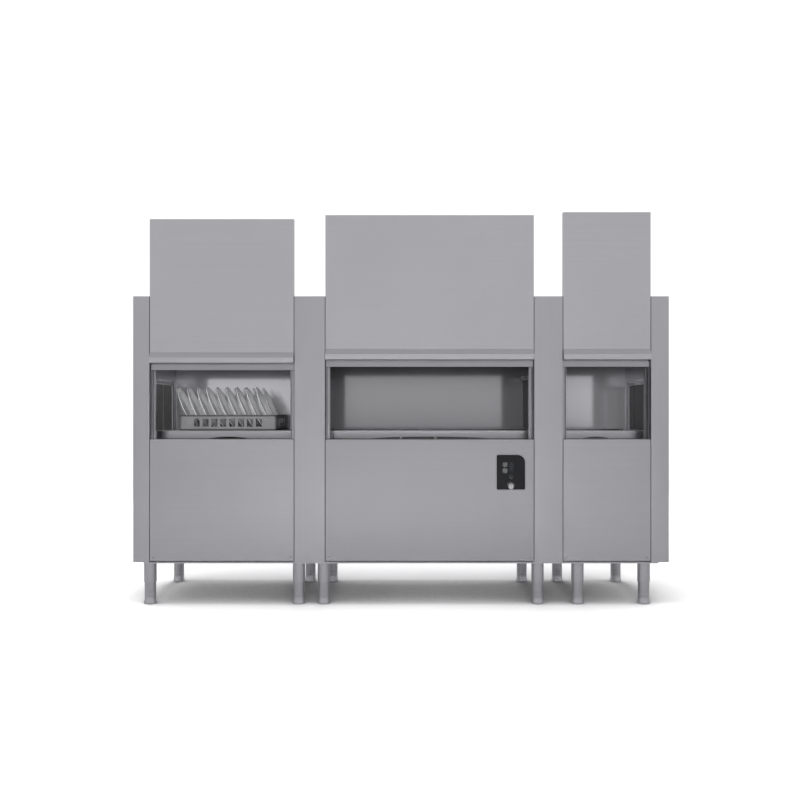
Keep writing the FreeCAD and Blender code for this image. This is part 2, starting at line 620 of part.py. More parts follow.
def heating_elements():
    """Two hairpins through the wash tank's right wall and one in the boiler."""
    elements = []
    for y in (-190, -90):
        elements.append(fuse(hairpin((744.5, y, 640), (260, y, 640), (0, 60, 0))
                             + [box(738, 744.5, y - 15, y + 75, 622, 658)]))
    x = BOILER_X - 20
    elements.append(fuse(hairpin((x, BOILER_Y, 262), (x, BOILER_Y, 470), (40, 0, 0))
                         + [cylinder("z", BOILER_X, BOILER_Y, 256, 41.5, 8)]))
    save("heating_elements", elements)


def drain_manifold():
    main_y, main_z, main_radius = 240, 292, 22
    left, right, outlet_x = -1145, 903, 600
    standpipes = [pipe([(x, PUMP_Y, 730), (x, PUMP_Y, main_z), (x, 228, main_z)], 18, 2)
                  for x in STANDPIPES.values()]
    main = pipe([(left, main_y, main_z), (right, main_y, main_z)], main_radius, 2)
    outlet = fuse([cylinder("z", outlet_x, main_y, 160, main_radius, 132),
                   cylinder("z", outlet_x, main_y, 150, 25, 90)])
    outlet = outlet.cut([cylinder("z", outlet_x, main_y, 140, 20, 170)])
    caps = [cylinder("x", x, main_y, main_z, main_radius, 3) for x in (left - 3, right)]
    body = fuse(standpipes + [main, outlet] + caps)
    # open the outlet into the main pipe
    save("drain_manifold", [body.cut([cylinder("z", outlet_x, main_y, 140, 20, 150)])])


def water_inlet_valve():
    """Valve block with a bent pipe to the boiler's right side."""
    x, y, pipe_radius, pipe_z = 1232.0, 235.0, 7, 345
    bend_y = y - 85
    valve = fuse([box(x - 24, x + 24, y - 22, y + 22, 320, 372),
                  cylinder("z", x, y, 372, 17, 40),
                  cylinder("z", x, y, 160, 13.2, 160),
                  cylinder("z", x, y, 270, 18, 22),
                  Part.makeCylinder(pipe_radius, 63, Vector(x, y - 22, pipe_z),
                                    Vector(0, -1, 0)),
                  Part.makeSphere(pipe_radius, Vector(x, bend_y, pipe_z)),
                  Part.makeCylinder(pipe_radius, x - (BOILER_X + BOILER_RADIUS + 0.5),
                                    Vector(x, bend_y, pipe_z), Vector(-1, 0, 0))])
    save("water_inlet_valve", [valve.cut([cylinder("z", x, y, 150, 9.5, 180)])])


# ---------------------------------------------------------------- controls
def electrical_box():
    """Box with five blocks inside, its rear lid, and the housing behind the fascia."""
    shell = box(380, 640, -315, -150, BASE_TOP + 1, 500)
    shell = shell.cut([box(382, 638, -313, -140, BASE_TOP + 3, 498)])
    blocks = [box(x, x + 36, -313, -240, 300, 380) for x in range(400, 581, 45)]
    lid = box(381, 639, -150, -148, BASE_TOP + 2, 499)

    def centred(half_x, half_z, y0, y1):
        return box(CONTROL_X - half_x, CONTROL_X + half_x, y0, y1,
                   CONTROL_Z - half_z, CONTROL_Z + half_z)
    housing = centred(56, 81, -382.3, -334).cut([centred(54, 79, -390, -336)])
    flange = centred(66, 90, -383.8, -382.3).cut([centred(54, 79, -390, -370)])
    save("electrical_box", [fuse([shell] + blocks), lid, fuse([housing, flange])])


BUTTON_X = CONTROL_X - 30
BUTTONS = {"power_button": CONTROL_Z + 40, "start_button": CONTROL_Z + 10}
KNOB_X, KNOB_Z = CONTROL_X, CONTROL_Z - 72
LAMP_X, LAMP_Z = CONTROL_X + 1.0, CONTROL_Z - 22.5
WINDOW_BACK = FRONT - 3.6


def control_fascia():
    fascia = plate(CONTROL_X - 71, CONTROL_X + 71, CONTROL_Z - 87, CONTROL_Z + 87,
                   FRONT - 5, FRONT, (6, 6, 38, 6))
    cuts = [box(BUTTON_X - 12, BUTTON_X + 12, FRONT - 8, FRONT + 3, z - 10, z + 10)
            for z in BUTTONS.values()]
    cuts.append(box(CONTROL_X - 9, CONTROL_X + 13, FRONT - 6, WINDOW_BACK,
                    CONTROL_Z + 4, CONTROL_Z + 50))
    cuts.append(cylinder("y", KNOB_X, FRONT - 8, KNOB_Z, 4.05, 16))
    cuts.append(cylinder("y", LAMP_X, FRONT - 8, LAMP_Z, 8.0, 16))
    save("control_fascia", [fascia.cut(cuts)])


def panel_lenses():
    face = FRONT - 6.2
    window = box(CONTROL_X - 8.8, CONTROL_X + 12.8, FRONT - 5.6, WINDOW_BACK,
                 CONTROL_Z + 4.2, CONTROL_Z + 49.8)
    lamp = fuse([cylinder("y", LAMP_X, face, LAMP_Z, 11.0, 1.2),
                 cylinder("y", LAMP_X, FRONT - 5.4, LAMP_Z, 7.8, 14)])
    rim = [edge for edge in lamp.Edges
           if edge.Curve.TypeId == "Part::GeomCircle" and near(edge.Vertexes[0].Y, face)]
    save("panel_lenses", [window, lamp.makeFillet(0.8, rim)])


def buttons_and_knob():
    for name, z in BUTTONS.items():
        cap = plate(BUTTON_X - 11.7, BUTTON_X + 11.7, z - 9.7, z + 9.7,
                    FRONT - 8, FRONT - 1, (2, 2, 2, 2))
        save(name, [fuse([cap, cylinder("y", BUTTON_X, FRONT - 1, z, 3, 14)])])
    base = FRONT - 5.3
    knob = fuse([Part.makeCone(14, 12.5, 9.5, Vector(KNOB_X, base, KNOB_Z), Vector(0, -1, 0)),
                 cylinder("y", KNOB_X, base, KNOB_Z, 4, 20)])
    pointer = box(KNOB_X - 1, KNOB_X + 1, FRONT - 16, FRONT - 13.6, KNOB_Z + 3, KNOB_Z + 14)
    save("program_knob", [knob.cut([pointer])])


def panel_screws():
    # head centre, outward direction
    places = [((side * RIGHT, y, z), (side, 0, 0))
              for z in (300, 700, 1100, 1500) for y in (-300, 350) for side in (-1, 1)]
    places += [((x, BACK, z), (0, 1, 0)) for left, right in CABINETS.values()
               for z in (260, 900, 1520) for x in (left + 22, right - 22)]
    places += [((x, FRONT, PANEL_BOTTOM + 18), (0, -1, 0))
               for left, right, _, _ in DOORS.values() for x in (left + 18, right - 18)]
    save("panel_screws", [Part.makeCone(5.5, 3.2, 2.2, Vector(*place), Vector(*outward))
                          for place, outward in places])


# ---------------------------------------------------------------- rack rails with cross bars
def rail_relief(x0, x1, height):
    """Tool for the long shallow arch along the bottom of the rail webs."""
    start, end = Vector(x0, -245, DECK - 0.1), Vector(x1, -245, DECK - 0.1)
    crown = Vector((x0 + x1) / 2, -245, DECK + height)
    wire = Part.Wire([Part.Arc(start, crown, end).toShape(), Part.makeLine(end, start)])
    return Part.Face(wire).extrude(Vector(0, 490, 0))


def rack_rails():
    # rail left and right; relief left and right; cross bar centres
    layout = [((-1243, -352), (-1000, -790), (-1200, -800, -500)),
              ((-349, 665), (-171, 473), (0, 180, 500)),
              ((668, 1263), (941, 1087), (760, 1256))]
    rails = []
    for span, relief, bars in layout:
        angles = []
        for web, flange in (((-236, -234), (-236, -196)), ((234, 236), (196, 236))):
            angles.append(box(*span, *web, DECK, RAIL_TOP))
            angles.append(box(*span, *flange, RAIL_TOP - 2, RAIL_TOP))
        parts = [fuse(angles).cut([rail_relief(*relief, 9)])]
        for x in bars:
            # bar, and the two upstands on it beside the feed carriage
            parts.append(box(x - 5, x + 5, -235, 235, DECK, DECK + 6))
            parts.append(box(x - 5, x + 5, -22, -16, 845, 856))
            parts.append(box(x - 5, x + 5, 15.4, 18.6, 845, 850))
        rails.append(fuse(parts))
    save("rack_rails", rails)


# ---------------------------------------------------------------- rack drive
DOG_Y, DOG_Z = 26.0, 853.0


def feed_carriage():
    parts = [box(-1235, 1235, -15, 15, 846, 856)]
    parts += [box(x - 12, x + 12, 10, 36, 846, 862) for x in (-1000, -300, 300, 1000)]
    parts.append(box(LEVER_X - 22, LEVER_X + 22, -3, 3, 812, 848))
    # dog bar bearings, and the slot for the lever's pin
    save("feed_carriage", [fuse(parts).cut([
        cylinder("x", -1240, DOG_Y, DOG_Z, 6.05, 2480),
        box(LEVER_X - 8.5, LEVER_X + 8.5, -5, 5, 800, 845)])])


def dog_bar():
    parts = [cylinder("x", -1180, DOG_Y, DOG_Z, 6.0, 2260)]
    for x in range(-1123, 878, 500):
        dog = box(x - 3, x + 3, DOG_Y, DOG_Y + 39, DOG_Z - 4.5, DOG_Z + 4.5)
        dog.rotate(Vector(x, DOG_Y, DOG_Z), Vector(1, 0, 0), -24)
        parts.append(dog)
    save("dog_bar", [fuse(parts)])


def drive_lever():
    """Cross shaft with an arm down at its front end and an arm up at its rear end."""
    top = LEVER_Z + LEVER_UP
    save("drive_lever", [fuse([
        cylinder("y", LEVER_X, -352, LEVER_Z, 10, 364),
        box(LEVER_X - 11, LEVER_X + 11, -352, -344, CRANK_Z, LEVER_Z),
        cylinder("y", LEVER_X, -352, LEVER_Z, 18, 8),
        cylinder("y", LEVER_X, -352, CRANK_Z, 14, 8),
        cylinder("y", LEVER_X, -357, CRANK_Z, 8, 8),
        box(LEVER_X - 10, LEVER_X + 10, 5, 12, LEVER_Z, top),
        cylinder("y", LEVER_X, 5, LEVER_Z, 17, 7),
        cylinder("y", LEVER_X, 5, top, 10, 7),
        cylinder("y", LEVER_X, -5, top, 6, 12)])])


def drive_crank():
    crank = fuse([cylinder("y", CRANK_X, -345, CRANK_Z, 12, 75),
                  cylinder("y", CRANK_X, -345, CRANK_Z, 20, 8),
                  cylinder("y", CRANK_X, -345, PIN_Z, 14, 8),
                  box(CRANK_X - 12, CRANK_X + 12, -345, -337, PIN_Z, CRANK_Z),
                  cylinder("y", CRANK_X, -366, PIN_Z, 8, 24)])
    notch = box(CRANK_X - 2, CRANK_X + 2, -280, -268, CRANK_Z + 9, CRANK_Z + 14)
    save("drive_crank", [crank.cut([notch])])


def drive_link():
    """Bar from the crank pin to the pin of the lever's lower arm."""
    run, rise = LEVER_X - CRANK_X, CRANK_Z - PIN_Z
    bar = box(0, hypot(run, rise), -366, -358, -9, 9)
    bar.rotate(Vector(0, 0, 0), Vector(0, 1, 0), -degrees(atan2(rise, run)))
    bar.translate(Vector(CRANK_X, 0, PIN_Z))
    pins = ((CRANK_X, PIN_Z), (LEVER_X, CRANK_Z))
    link = fuse([bar] + [cylinder("y", x, -366, z, 16, 8) for x, z in pins])
    save("drive_link", [link.cut([cylinder("y", x, -370, z, 8.05, 20) for x, z in pins])])


def drive_gearmotor():
    body = fuse([box(CRANK_X - 58, CRANK_X + 58, -318, -215, CRANK_Z - 60, CRANK_Z + 60),
                 cylinder("y", CRANK_X, -330, CRANK_Z, 30, 14),
                 cylinder("y", CRANK_X, -215, CRANK_Z, 52, 170),
                 cylinder("y", CRANK_X, -45, CRANK_Z, 46, 30),
                 box(CRANK_X - 50, CRANK_X + 50, -310, -180, BASE_TOP, CRANK_Z - 55)])
    save("drive_gearmotor", [body.cut([cylinder("y", CRANK_X, -340, CRANK_Z, 12.05, 72)])])


# ---------------------------------------------------------------- curtains on their rods
def curtains():
    end = (END_ROD_Z, PASS_HALF + SHEET, PASS_BOTTOM + 2)
    middle = (DIVIDER_ROD_Z, PASS_HALF, 890.0)
    for name, x, (z, half, low) in (("curtain_entry", -END_ROD_X, end),
                                    ("curtain_prewash_wash", DIVIDER_RODS[0], middle),
                                    ("curtain_wash_rinse", DIVIDER_RODS[1], middle),
                                    ("curtain_exit", END_ROD_X, end)):
        parts = [cylinder("y", x, -half, z, 5, 2 * half),
                 box(x - 2, x + 2, -250, 250, z - 16, z - 3)]
        for i in range(5):
            y = -250 + i * 100.5
            parts.append(box(x - 1.3, x + 1.3, y, y + 98, low, z - 12))
        save(name, [fuse(parts)])


# ---------------------------------------------------------------- dish rack and plates
RACK_LEFT, RACK_WIDTH, RACK_HEIGHT = -1148.0, 500.0, 80.0
RACK_BOTTOM = RAIL_TOP + 1
PLATE_RADIUS, PLATE_TILT, PLATE_PITCH, PLATE_COUNT = 120.0, 24.0, 51.5, 9


def dish_rack():
    left, right, half = RACK_LEFT, RACK_LEFT + RACK_WIDTH, RACK_WIDTH / 2
    bottom, top = RACK_BOTTOM, RACK_BOTTOM + RACK_HEIGHT

    def frame(z0, z1, width, cut_z0, cut_z1):
        """Square ring of the given width."""
        hole = box(left + width, right - width, width - half, half - width, cut_z0, cut_z1)
        return box(left, right, -half, half, z0, z1).cut([hole])
    parts = [frame(bottom, top, 4, bottom - 5, top + 5),
             frame(top - 7, top, 6, bottom + 40, top + 5),
             frame(bottom, bottom + 8, 12, bottom - 5, bottom + 20)]
    for k in range(1, 10):
        x = left + 50 * k
        parts.append(box(x - 3, x + 3, -245, 245, bottom, bottom + 8))
    for y in range(-225, 226, 50):
        parts.append(box(left + 5, right - 5, y - 2.5, y + 2.5, bottom, bottom + 6))
    # windows in the front and back walls, then in the left and right walls
    windows = []
    for i in range(8):
        x = (left + right) / 2 + (i - 3.5) * 46
        windows.append(box(x - 15, x + 15, -255, 255, bottom + 20, bottom + 62))
    for y in (-115, 115):
        windows.append(box(left - 5, right + 5, y - 15, y + 15, bottom + 20, bottom + 62))
    windows.append(box(left - 5, right + 5, -60, 60, bottom + 36, bottom + 64))
    rack = fuse(parts).cut(windows)
    # pegs lean back with the plates
    lean = Vector(-sin(radians(PLATE_TILT)), 0, cos(radians(PLATE_TILT)))
    pegs = [Part.makeCylinder(2.6, 44, Vector(left + 32 + PLATE_PITCH * i, y, bottom + 3), lean)
            for i in range(PLATE_COUNT) for y in (-175, -75, 75, 175)]
    save("dish_rack", [fuse([rack] + pegs)])


def plates():
    # half section, axis along +X, well towards -X: distance along the axis, radius
    section = [(0, 0), (0, 66), (5, 78), (16, 104), (19, PLATE_RADIUS),
               (21.5, PLATE_RADIUS), (19.5, 103), (8.6, 77), (3.6, 65), (3.6, 0)]
    ring = [Vector(x, 0, radius) for x, radius in section + section[:1]]
    face = Part.Face(Part.makePolygon(ring))
    dish = face.revolve(Vector(0, 0, 0), Vector(1, 0, 0), 360)
    sine, cosine = sin(radians(PLATE_TILT)), cos(radians(PLATE_TILT))
    lowest = min(x * sine - radius * cosine for x, radius in section)
    made = []
    for i in range(PLATE_COUNT):
        # the bottom of the rim stands on the rack base, between two rows of pegs
        rim_x = RACK_LEFT + 64.0 + PLATE_PITCH * i
        for y in (-122.0, 122.0):
            piece = dish.copy()
            piece.rotate(Vector(0, 0, 0), Vector(0, 1, 0), -PLATE_TILT)
            piece.translate(Vector(rim_x - 19 * cosine - PLATE_RADIUS * sine, y,
                                   RACK_BOTTOM + 8.4 - lowest))
            made.append(piece)
    save("plates", made)


# ---------------------------------------------------------------- build
for build in (base_frame, legs_and_feet, posts, end_panels, rear_panels, roof_panels,
              lower_panels, chamber_liners, zone_dividers, door_guides, door_cables,
              wash_tanks, tank_strainers, spray_arms, pumps, pump_pipework, boiler,
              heating_elements, drain_manifold, water_inlet_valve, electrical_box,
              control_fascia, panel_lenses, buttons_and_knob, panel_screws, rack_rails,
              feed_carriage, dog_bar, drive_lever, drive_crank, drive_link,
              drive_gearmotor, curtains, dish_rack, plates):
    build()
for door in DOORS:
    door_skin(door)
    door_liner(door)
    balance_shaft(door)
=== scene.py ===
"""A rack conveyor dishwasher with three doors, a rack of plates, strip curtains and a control panel.

Metres, +Z up: the machine is long in X, its front faces -Y and the floor is at z = 0.
The CAD pieces get their finishes here; the rack, plates, curtains, knob and screws are rebuilt.
"""
import bpy
import bmesh
import math
import random
from mathutils import Vector, Matrix


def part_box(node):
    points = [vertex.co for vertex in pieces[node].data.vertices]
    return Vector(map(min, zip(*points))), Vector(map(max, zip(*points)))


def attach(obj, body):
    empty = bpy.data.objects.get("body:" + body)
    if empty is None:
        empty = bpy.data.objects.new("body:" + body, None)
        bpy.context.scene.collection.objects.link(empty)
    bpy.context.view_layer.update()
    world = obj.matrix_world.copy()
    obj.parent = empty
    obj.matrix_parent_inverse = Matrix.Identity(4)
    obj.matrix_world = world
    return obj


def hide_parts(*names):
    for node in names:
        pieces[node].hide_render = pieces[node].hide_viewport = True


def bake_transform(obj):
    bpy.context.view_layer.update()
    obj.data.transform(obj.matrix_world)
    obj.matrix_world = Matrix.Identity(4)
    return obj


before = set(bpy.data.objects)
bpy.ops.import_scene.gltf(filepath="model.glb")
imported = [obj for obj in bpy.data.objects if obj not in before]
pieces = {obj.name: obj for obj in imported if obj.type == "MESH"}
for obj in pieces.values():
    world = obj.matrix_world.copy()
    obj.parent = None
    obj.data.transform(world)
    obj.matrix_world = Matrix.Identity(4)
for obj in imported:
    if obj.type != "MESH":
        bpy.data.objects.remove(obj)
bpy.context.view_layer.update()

scene = bpy.context.scene
rng = random.Random(7)  # shared by the plates and then the screws

MM = 0.001

# rack and plates
RACK_SIDE = 0.5
RACK_CORNER = 0.016
ROW_COUNT = 9
ROW_PITCH = 0.0515
ROW_LEAN = math.radians(24.0)  # plates and pegs lean towards -X
PLATE_RADIUS = 0.120
PLATE_RIM_HEIGHT = 0.019  # along the plate's axis, at the point that rests on the rack


# ------------------------------------------------------------------ shader nodes
class Nodes:
    """An emptied shader node tree with an output, object coordinates and short helpers."""

    def __init__(self, tree, output_kind):
        self.tree = tree
        tree.nodes.clear()
        self.out = self.node(output_kind)
        self.coords = self.node("ShaderNodeTexCoord")

    def node(self, kind, **props):
        n = self.tree.nodes.new(kind)
        for key, value in props.items():
            setattr(n, key, value)
        return n

    def feed(self, socket, value):
        """Link another node's output to a socket, or set the socket's own value."""
        if isinstance(value, bpy.types.NodeSocket):
            self.tree.links.new(value, socket)
        elif socket.type == "RGBA":
            socket.default_value = (*value, 1.0)
        else:
            socket.default_value = value

    def remap(self, value, source, target=(0, 1)):
        n = self.node("ShaderNodeMapRange")
        self.feed(n.inputs["Value"], value)
        for side, pair in (("From", source), ("To", target)):
            n.inputs[side + " Min"].default_value, n.inputs[side + " Max"].default_value = pair
        return n.outputs[0]

    def axis(self, coords, letter):
        n = self.node("ShaderNodeSeparateXYZ")
        self.feed(n.inputs[0], coords)
        return n.outputs[letter]

    def mix_shader(self, factor, a, b):
        n = self.node("ShaderNodeMixShader")
        for socket, value in zip(n.inputs, (factor, a, b)):
            self.feed(socket, value)
        return n.outputs[0]

    def camera_ray(self):
        return self.node("ShaderNodeLightPath").outputs["Is Camera Ray"]


class Mat(Nodes):
    """A node material with a Principled shader."""

    def __init__(self, name):
        self.material = bpy.data.materials.new(name)
        self.material.use_nodes = True
        super().__init__(self.material.node_tree, "ShaderNodeOutputMaterial")
        self.bsdf = self.node("ShaderNodeBsdfPrincipled")
        self.feed(self.out.inputs[0], self.bsdf.outputs[0])

    def set(self, key, value):
        self.feed(self.bsdf.inputs[key], value)

    def noise(self, stretch=(1, 1, 1), offset=(0, 0, 0), scale=1.0, detail=4.0, rough=0.6,
              distortion=0.0):
        mapping = self.node("ShaderNodeMapping")
        self.feed(mapping.inputs["Scale"], stretch)
        self.feed(mapping.inputs["Location"], offset)
        self.feed(mapping.inputs["Vector"], self.coords.outputs["Object"])
        n = self.node("ShaderNodeTexNoise")
        for key, value in (("Scale", scale), ("Detail", detail), ("Roughness", rough),
                           ("Distortion", distortion), ("Vector", mapping.outputs[0])):
            self.feed(n.inputs[key], value)
        return n.outputs[0]

    def math(self, operation, a, b):
        n = self.node("ShaderNodeMath", operation=operation)
        self.feed(n.inputs[0], a)
        self.feed(n.inputs[1], b)
        return n.outputs[0]

    def mix(self, factor, a, b, blend="MIX"):
        n = self.node("ShaderNodeMix", data_type="RGBA", blend_type=blend)
        # 0 is the number factor, 6 and 7 the colours A and B; output 2 is the colour
        for index, value in ((0, factor), (6, a), (7, b)):
            self.feed(n.inputs[index], value)
        return n.outputs[2]

    def drift(self, value, a, b):
        """Drift from colour a to colour b over the middle range of a noise."""
        return self.mix(self.remap(value, source=(0.3, 0.7)), a, b)

    def occlusion(self, samples, distance):
        n = self.node("ShaderNodeAmbientOcclusion", samples=samples)
        n.inputs["Distance"].default_value = distance
        return n.outputs["AO"]

    def edge(self, radius):
        """A normal that rounds sharp edges to the radius."""
        n = self.node("ShaderNodeBevel", samples=4)
        n.inputs["Radius"].default_value = radius
        return n.outputs[0]

    def bump(self, height, strength, distance, edge_radius=None):
        n = self.node("ShaderNodeBump")
        self.feed(n.inputs["Strength"], strength)
        self.feed(n.inputs["Distance"], distance)
        self.feed(n.inputs["Height"], height)
        if edge_radius is not None:
            self.feed(n.inputs["Normal"], self.edge(edge_radius))
        self.set("Normal", n.outputs[0])


# ------------------------------------------------------------------ materials
STEEL_TINT = (1.0, 0.993, 1.036)
GRAIN_LONG, GRAIN_FINE = 1.5, 420.0  # noise frequency along and across the grain


def stainless(name, tone, rough, grain, spread=0.05, smudge=0.05, grain_bump=0.10, wear=True,
              shade_zones=(), crevice_shade=None, metal=1.0):
    """Stainless steel: long fine grain along one axis, cloudy and wiped marks, bright edges.

    shade_zones: painted shade over spans of x: (from x, to x, share of the brightness kept)
    crevice_shade: painted shade in narrow gaps: (reach, share of the brightness the tightest gaps
    keep)
    """
    m = Mat(name)

    def tinted(level):
        return tuple(level * t for t in STEEL_TINT)

    stretch = tuple(GRAIN_LONG if letter == grain else GRAIN_FINE for letter in "xyz")
    fine = m.noise(stretch, detail=6.0, rough=0.75)
    coarse = m.noise(tuple(v * 0.32 for v in stretch), offset=(3.1, 1.7, 0.4), detail=3.0)
    lines = m.math("ADD", m.math("MULTIPLY", fine, 0.6), m.math("MULTIPLY", coarse, 0.4))
    cloud = m.noise((2.2, 2.2, 2.2), offset=(0.3, 5.0, 1.0), detail=5.0, rough=0.55,
                    distortion=0.6)
    wipe = m.noise((5.0, 5.0, 1.3), offset=(2.0, 0.0, 7.0), distortion=1.5)
    colour = m.mix(m.remap(lines, source=(0.32, 0.68)),
                   tinted(tone * (1 - spread)), tinted(tone * (1 + spread)))
    colour = m.mix(m.remap(cloud, source=(0.35, 0.7), target=(0.0, 0.30)),
                   colour, tinted(tone * 0.93))
    if wear:
        pointiness = m.node("ShaderNodeNewGeometry").outputs["Pointiness"]
        colour = m.mix(m.remap(pointiness, source=(0.505, 0.56), target=(0.0, 0.35)),
                       colour, tinted(tone * 1.22))
    if shade_zones:
        # painted shade: darker over the given spans of x
        x = m.axis(m.coords.outputs["Object"], "X")
        for start, end, share in shade_zones:
            inside = m.math("MULTIPLY", m.math("GREATER_THAN", x, start),
                            m.math("LESS_THAN", x, end))
            colour = m.mix(m.math("MULTIPLY", inside, 1.0 - share), colour, (0.0, 0.0, 0.0))
    if crevice_shade:
        # painted shade: darker in the narrow gaps, from ambient occlusion
        reach, gap_light_kept = crevice_shade
        unshaded = m.remap(m.occlusion(samples=4, distance=reach),
                        source=(0.25, 0.95), target=(gap_light_kept, 1.0))
        colour = m.mix(m.math("SUBTRACT", 1.0, unshaded), colour, tinted(tone * 0.16))
    m.set("Base Color", colour)
    m.set("Metallic", metal)
    m.set("Roughness", m.math(
        "ADD", m.remap(lines, source=(0.3, 0.7), target=(rough - 0.045, rough + 0.045)),
        m.remap(wipe, source=(0.45, 0.75), target=(0.0, smudge))))
    m.bump(lines, strength=grain_bump, distance=0.0004, edge_radius=0.0012)
    return m.material


def moulded(name, colour, rough, grain=900.0, bump=0.15, vary=0.08, coat=0.0, scuff=0.06,
            shade_bands=None):
    """Plastic or paint: fine leather-like skin, slight colour drift and scuffs.

    shade_bands: painted shade: (z below which, z above which it is darker, share of the brightness
    kept there)
    """
    m = Mat(name)
    fine = m.noise(scale=grain, detail=3.0)
    drift = m.noise(offset=(4, 2, 9), scale=9.0)
    scuffs = m.noise((60, 9, 60), offset=(1, 3, 5), detail=5.0, rough=0.7)
    shade = m.drift(drift, tuple(c * (1 - vary) for c in colour),
                    tuple(c * (1 + vary) for c in colour))
    shade = m.mix(m.remap(scuffs, source=(0.62, 0.8), target=(0, 0.25)),
                  shade, tuple(c * 1.5 + 0.02 for c in colour))
    if shade_bands:
        # painted shade: darker below the low height and above the high one
        low_z, high_z, share = shade_bands
        fade = 0.001
        z = m.axis(m.coords.outputs["Object"], "Z")
        low = m.remap(z, source=(low_z - fade, low_z + fade), target=(1, 0))
        high = m.remap(z, source=(high_z - fade, high_z + fade))
        shade = m.mix(m.math("MULTIPLY", m.math("ADD", low, high), 1.0 - share),
                      shade, (0.0, 0.0, 0.0))
    m.set("Base Color", shade)
    m.set("Roughness", m.math(
        "ADD", m.remap(drift, source=(0.3, 0.7), target=(rough - 0.03, rough + 0.03)),
        m.remap(scuffs, source=(0.55, 0.8), target=(0, scuff))))
    m.set("Coat Weight", coat)
    m.set("Coat Roughness", 0.08)
    m.bump(fine, strength=bump, distance=0.0003, edge_radius=0.0008)
    return m.material


def fascia_material():
    m = Mat("fascia_gloss_black")
    drift = m.noise((14, 14, 14))
    fine = m.noise(scale=1600.0, detail=2.0, rough=0.5)
    m.set("Base Color", m.drift(drift, (0.002, 0.002, 0.003), (0.004, 0.004, 0.005)))
    m.set("Roughness", m.remap(drift, source=(0.3, 0.75), target=(0.30, 0.38)))
    m.set("Specular IOR Level", 0.36)
    m.set("Coat Weight", 0.05)
    m.set("Coat Roughness", 0.10)
    m.bump(fine, strength=0.06, distance=0.0002, edge_radius=0.0010)
    return m.material


def window_material():
    m = Mat("window_smoked")
    smear = m.noise((40, 40, 12))
    m.set("Base Color", m.drift(smear, (0.012, 0.014, 0.017), (0.024, 0.027, 0.031)))
    m.set("Roughness", m.remap(smear, source=(0.3, 0.7), target=(0.06, 0.14)))
    m.set("Coat Weight", 0.3)
    m.set("Coat Roughness", 0.04)
    m.set("Normal", m.edge(radius=0.0006))
    return m.material


def porcelain_material():
    m = Mat("porcelain_white_glaze")
    drift = m.noise((9, 9, 9))
    ripple = m.noise(offset=(3, 3, 3), scale=60.0, detail=2.0, rough=0.5)
    m.set("Base Color", m.drift(drift, (0.85, 0.85, 0.86), (0.90, 0.90, 0.91)))
    m.set("Roughness", m.remap(drift, source=(0.3, 0.7), target=(0.10, 0.20)))
    m.set("Subsurface Weight", 0.08)
    m.set("Subsurface Radius", (0.004, 0.004, 0.003))
    m.set("Coat Weight", 0.6)
    m.set("Coat Roughness", 0.05)
    m.bump(ripple, strength=0.04, distance=0.0005)
    return m.material


def brass_material():
    m = Mat("brass_cast")
    drift = m.noise((40, 40, 40), detail=5.0)
    m.set("Base Color", m.drift(drift, (0.52, 0.38, 0.15), (0.66, 0.50, 0.22)))
    m.set("Metallic", 1.0)
    m.set("Roughness", m.remap(drift, source=(0.3, 0.7), target=(0.28, 0.42)))
    m.bump(drift, strength=0.15, distance=0.0005, edge_radius=0.0008)
    return m.material


# painted shade on most of these steels: darker in narrow gaps, and on some over given spans of x
STEEL_H = stainless("steel_panel_grain_x", tone=0.585, rough=0.34, grain="x",
                    crevice_shade=(0.010, 0.55))
# painted shade: the lower panels a little darker from x -0.40 to 0.69
STEEL_LOW = stainless("steel_lower_panel_grain_x", tone=0.585, rough=0.34, grain="x",
                      shade_zones=((-0.40, 0.69, 0.93),), crevice_shade=(0.010, 0.55))
STEEL_DOOR = stainless("steel_door_grain_x", tone=0.655, rough=0.34, grain="x",
                       crevice_shade=(0.010, 0.45))
STEEL_V = stainless("steel_post_grain_z", tone=0.555, rough=0.36, grain="z",
                    crevice_shade=(0.008, 0.6))
STEEL_END = stainless("steel_end_grain_y", tone=0.60, rough=0.36, grain="y")
# painted shade: the lining darker over the wash chamber's span of x, a little darker over the rinse
# chamber's
STEEL_IN = stainless("steel_lining_bright", tone=0.66, rough=0.085, grain="x", spread=0.025,
                     smudge=0.03, grain_bump=0.012, metal=0.72,
                     shade_zones=((-0.45, 0.75, 0.50), (0.75, 1.36, 0.84)))
STEEL_LIP = stainless("steel_door_back", tone=0.50, rough=0.30, grain="x", spread=0.02,
                      smudge=0.02, wear=False, crevice_shade=(0.012, 0.5))
STEEL_DIV = stainless("steel_divider_bright", tone=0.52, rough=0.24, grain="z", spread=0.04,
                      smudge=0.10, grain_bump=0.05)
STEEL_TRIM = stainless("steel_trim_satin", tone=0.62, rough=0.28, grain="z")
# painted shade: the guides much darker from x 1.20 to 1.35
STEEL_GUIDE = stainless("steel_guide_satin", tone=0.52, rough=0.30, grain="z",
                        shade_zones=((1.20, 1.35, 0.45),), crevice_shade=(0.008, 0.6))
STEEL_RAIL = stainless("steel_rail_satin", tone=0.58, rough=0.30, grain="x", spread=0.06)
STEEL_LEG = stainless("steel_leg_turned", tone=0.57, rough=0.30, grain="z")
STEEL_PIPE = stainless("steel_pipe_polished", tone=0.60, rough=0.22, grain="y")
STEEL_DRIVE = stainless("steel_drive_parts", tone=0.42, rough=0.32, grain="x", spread=0.10,
                        smudge=0.12)

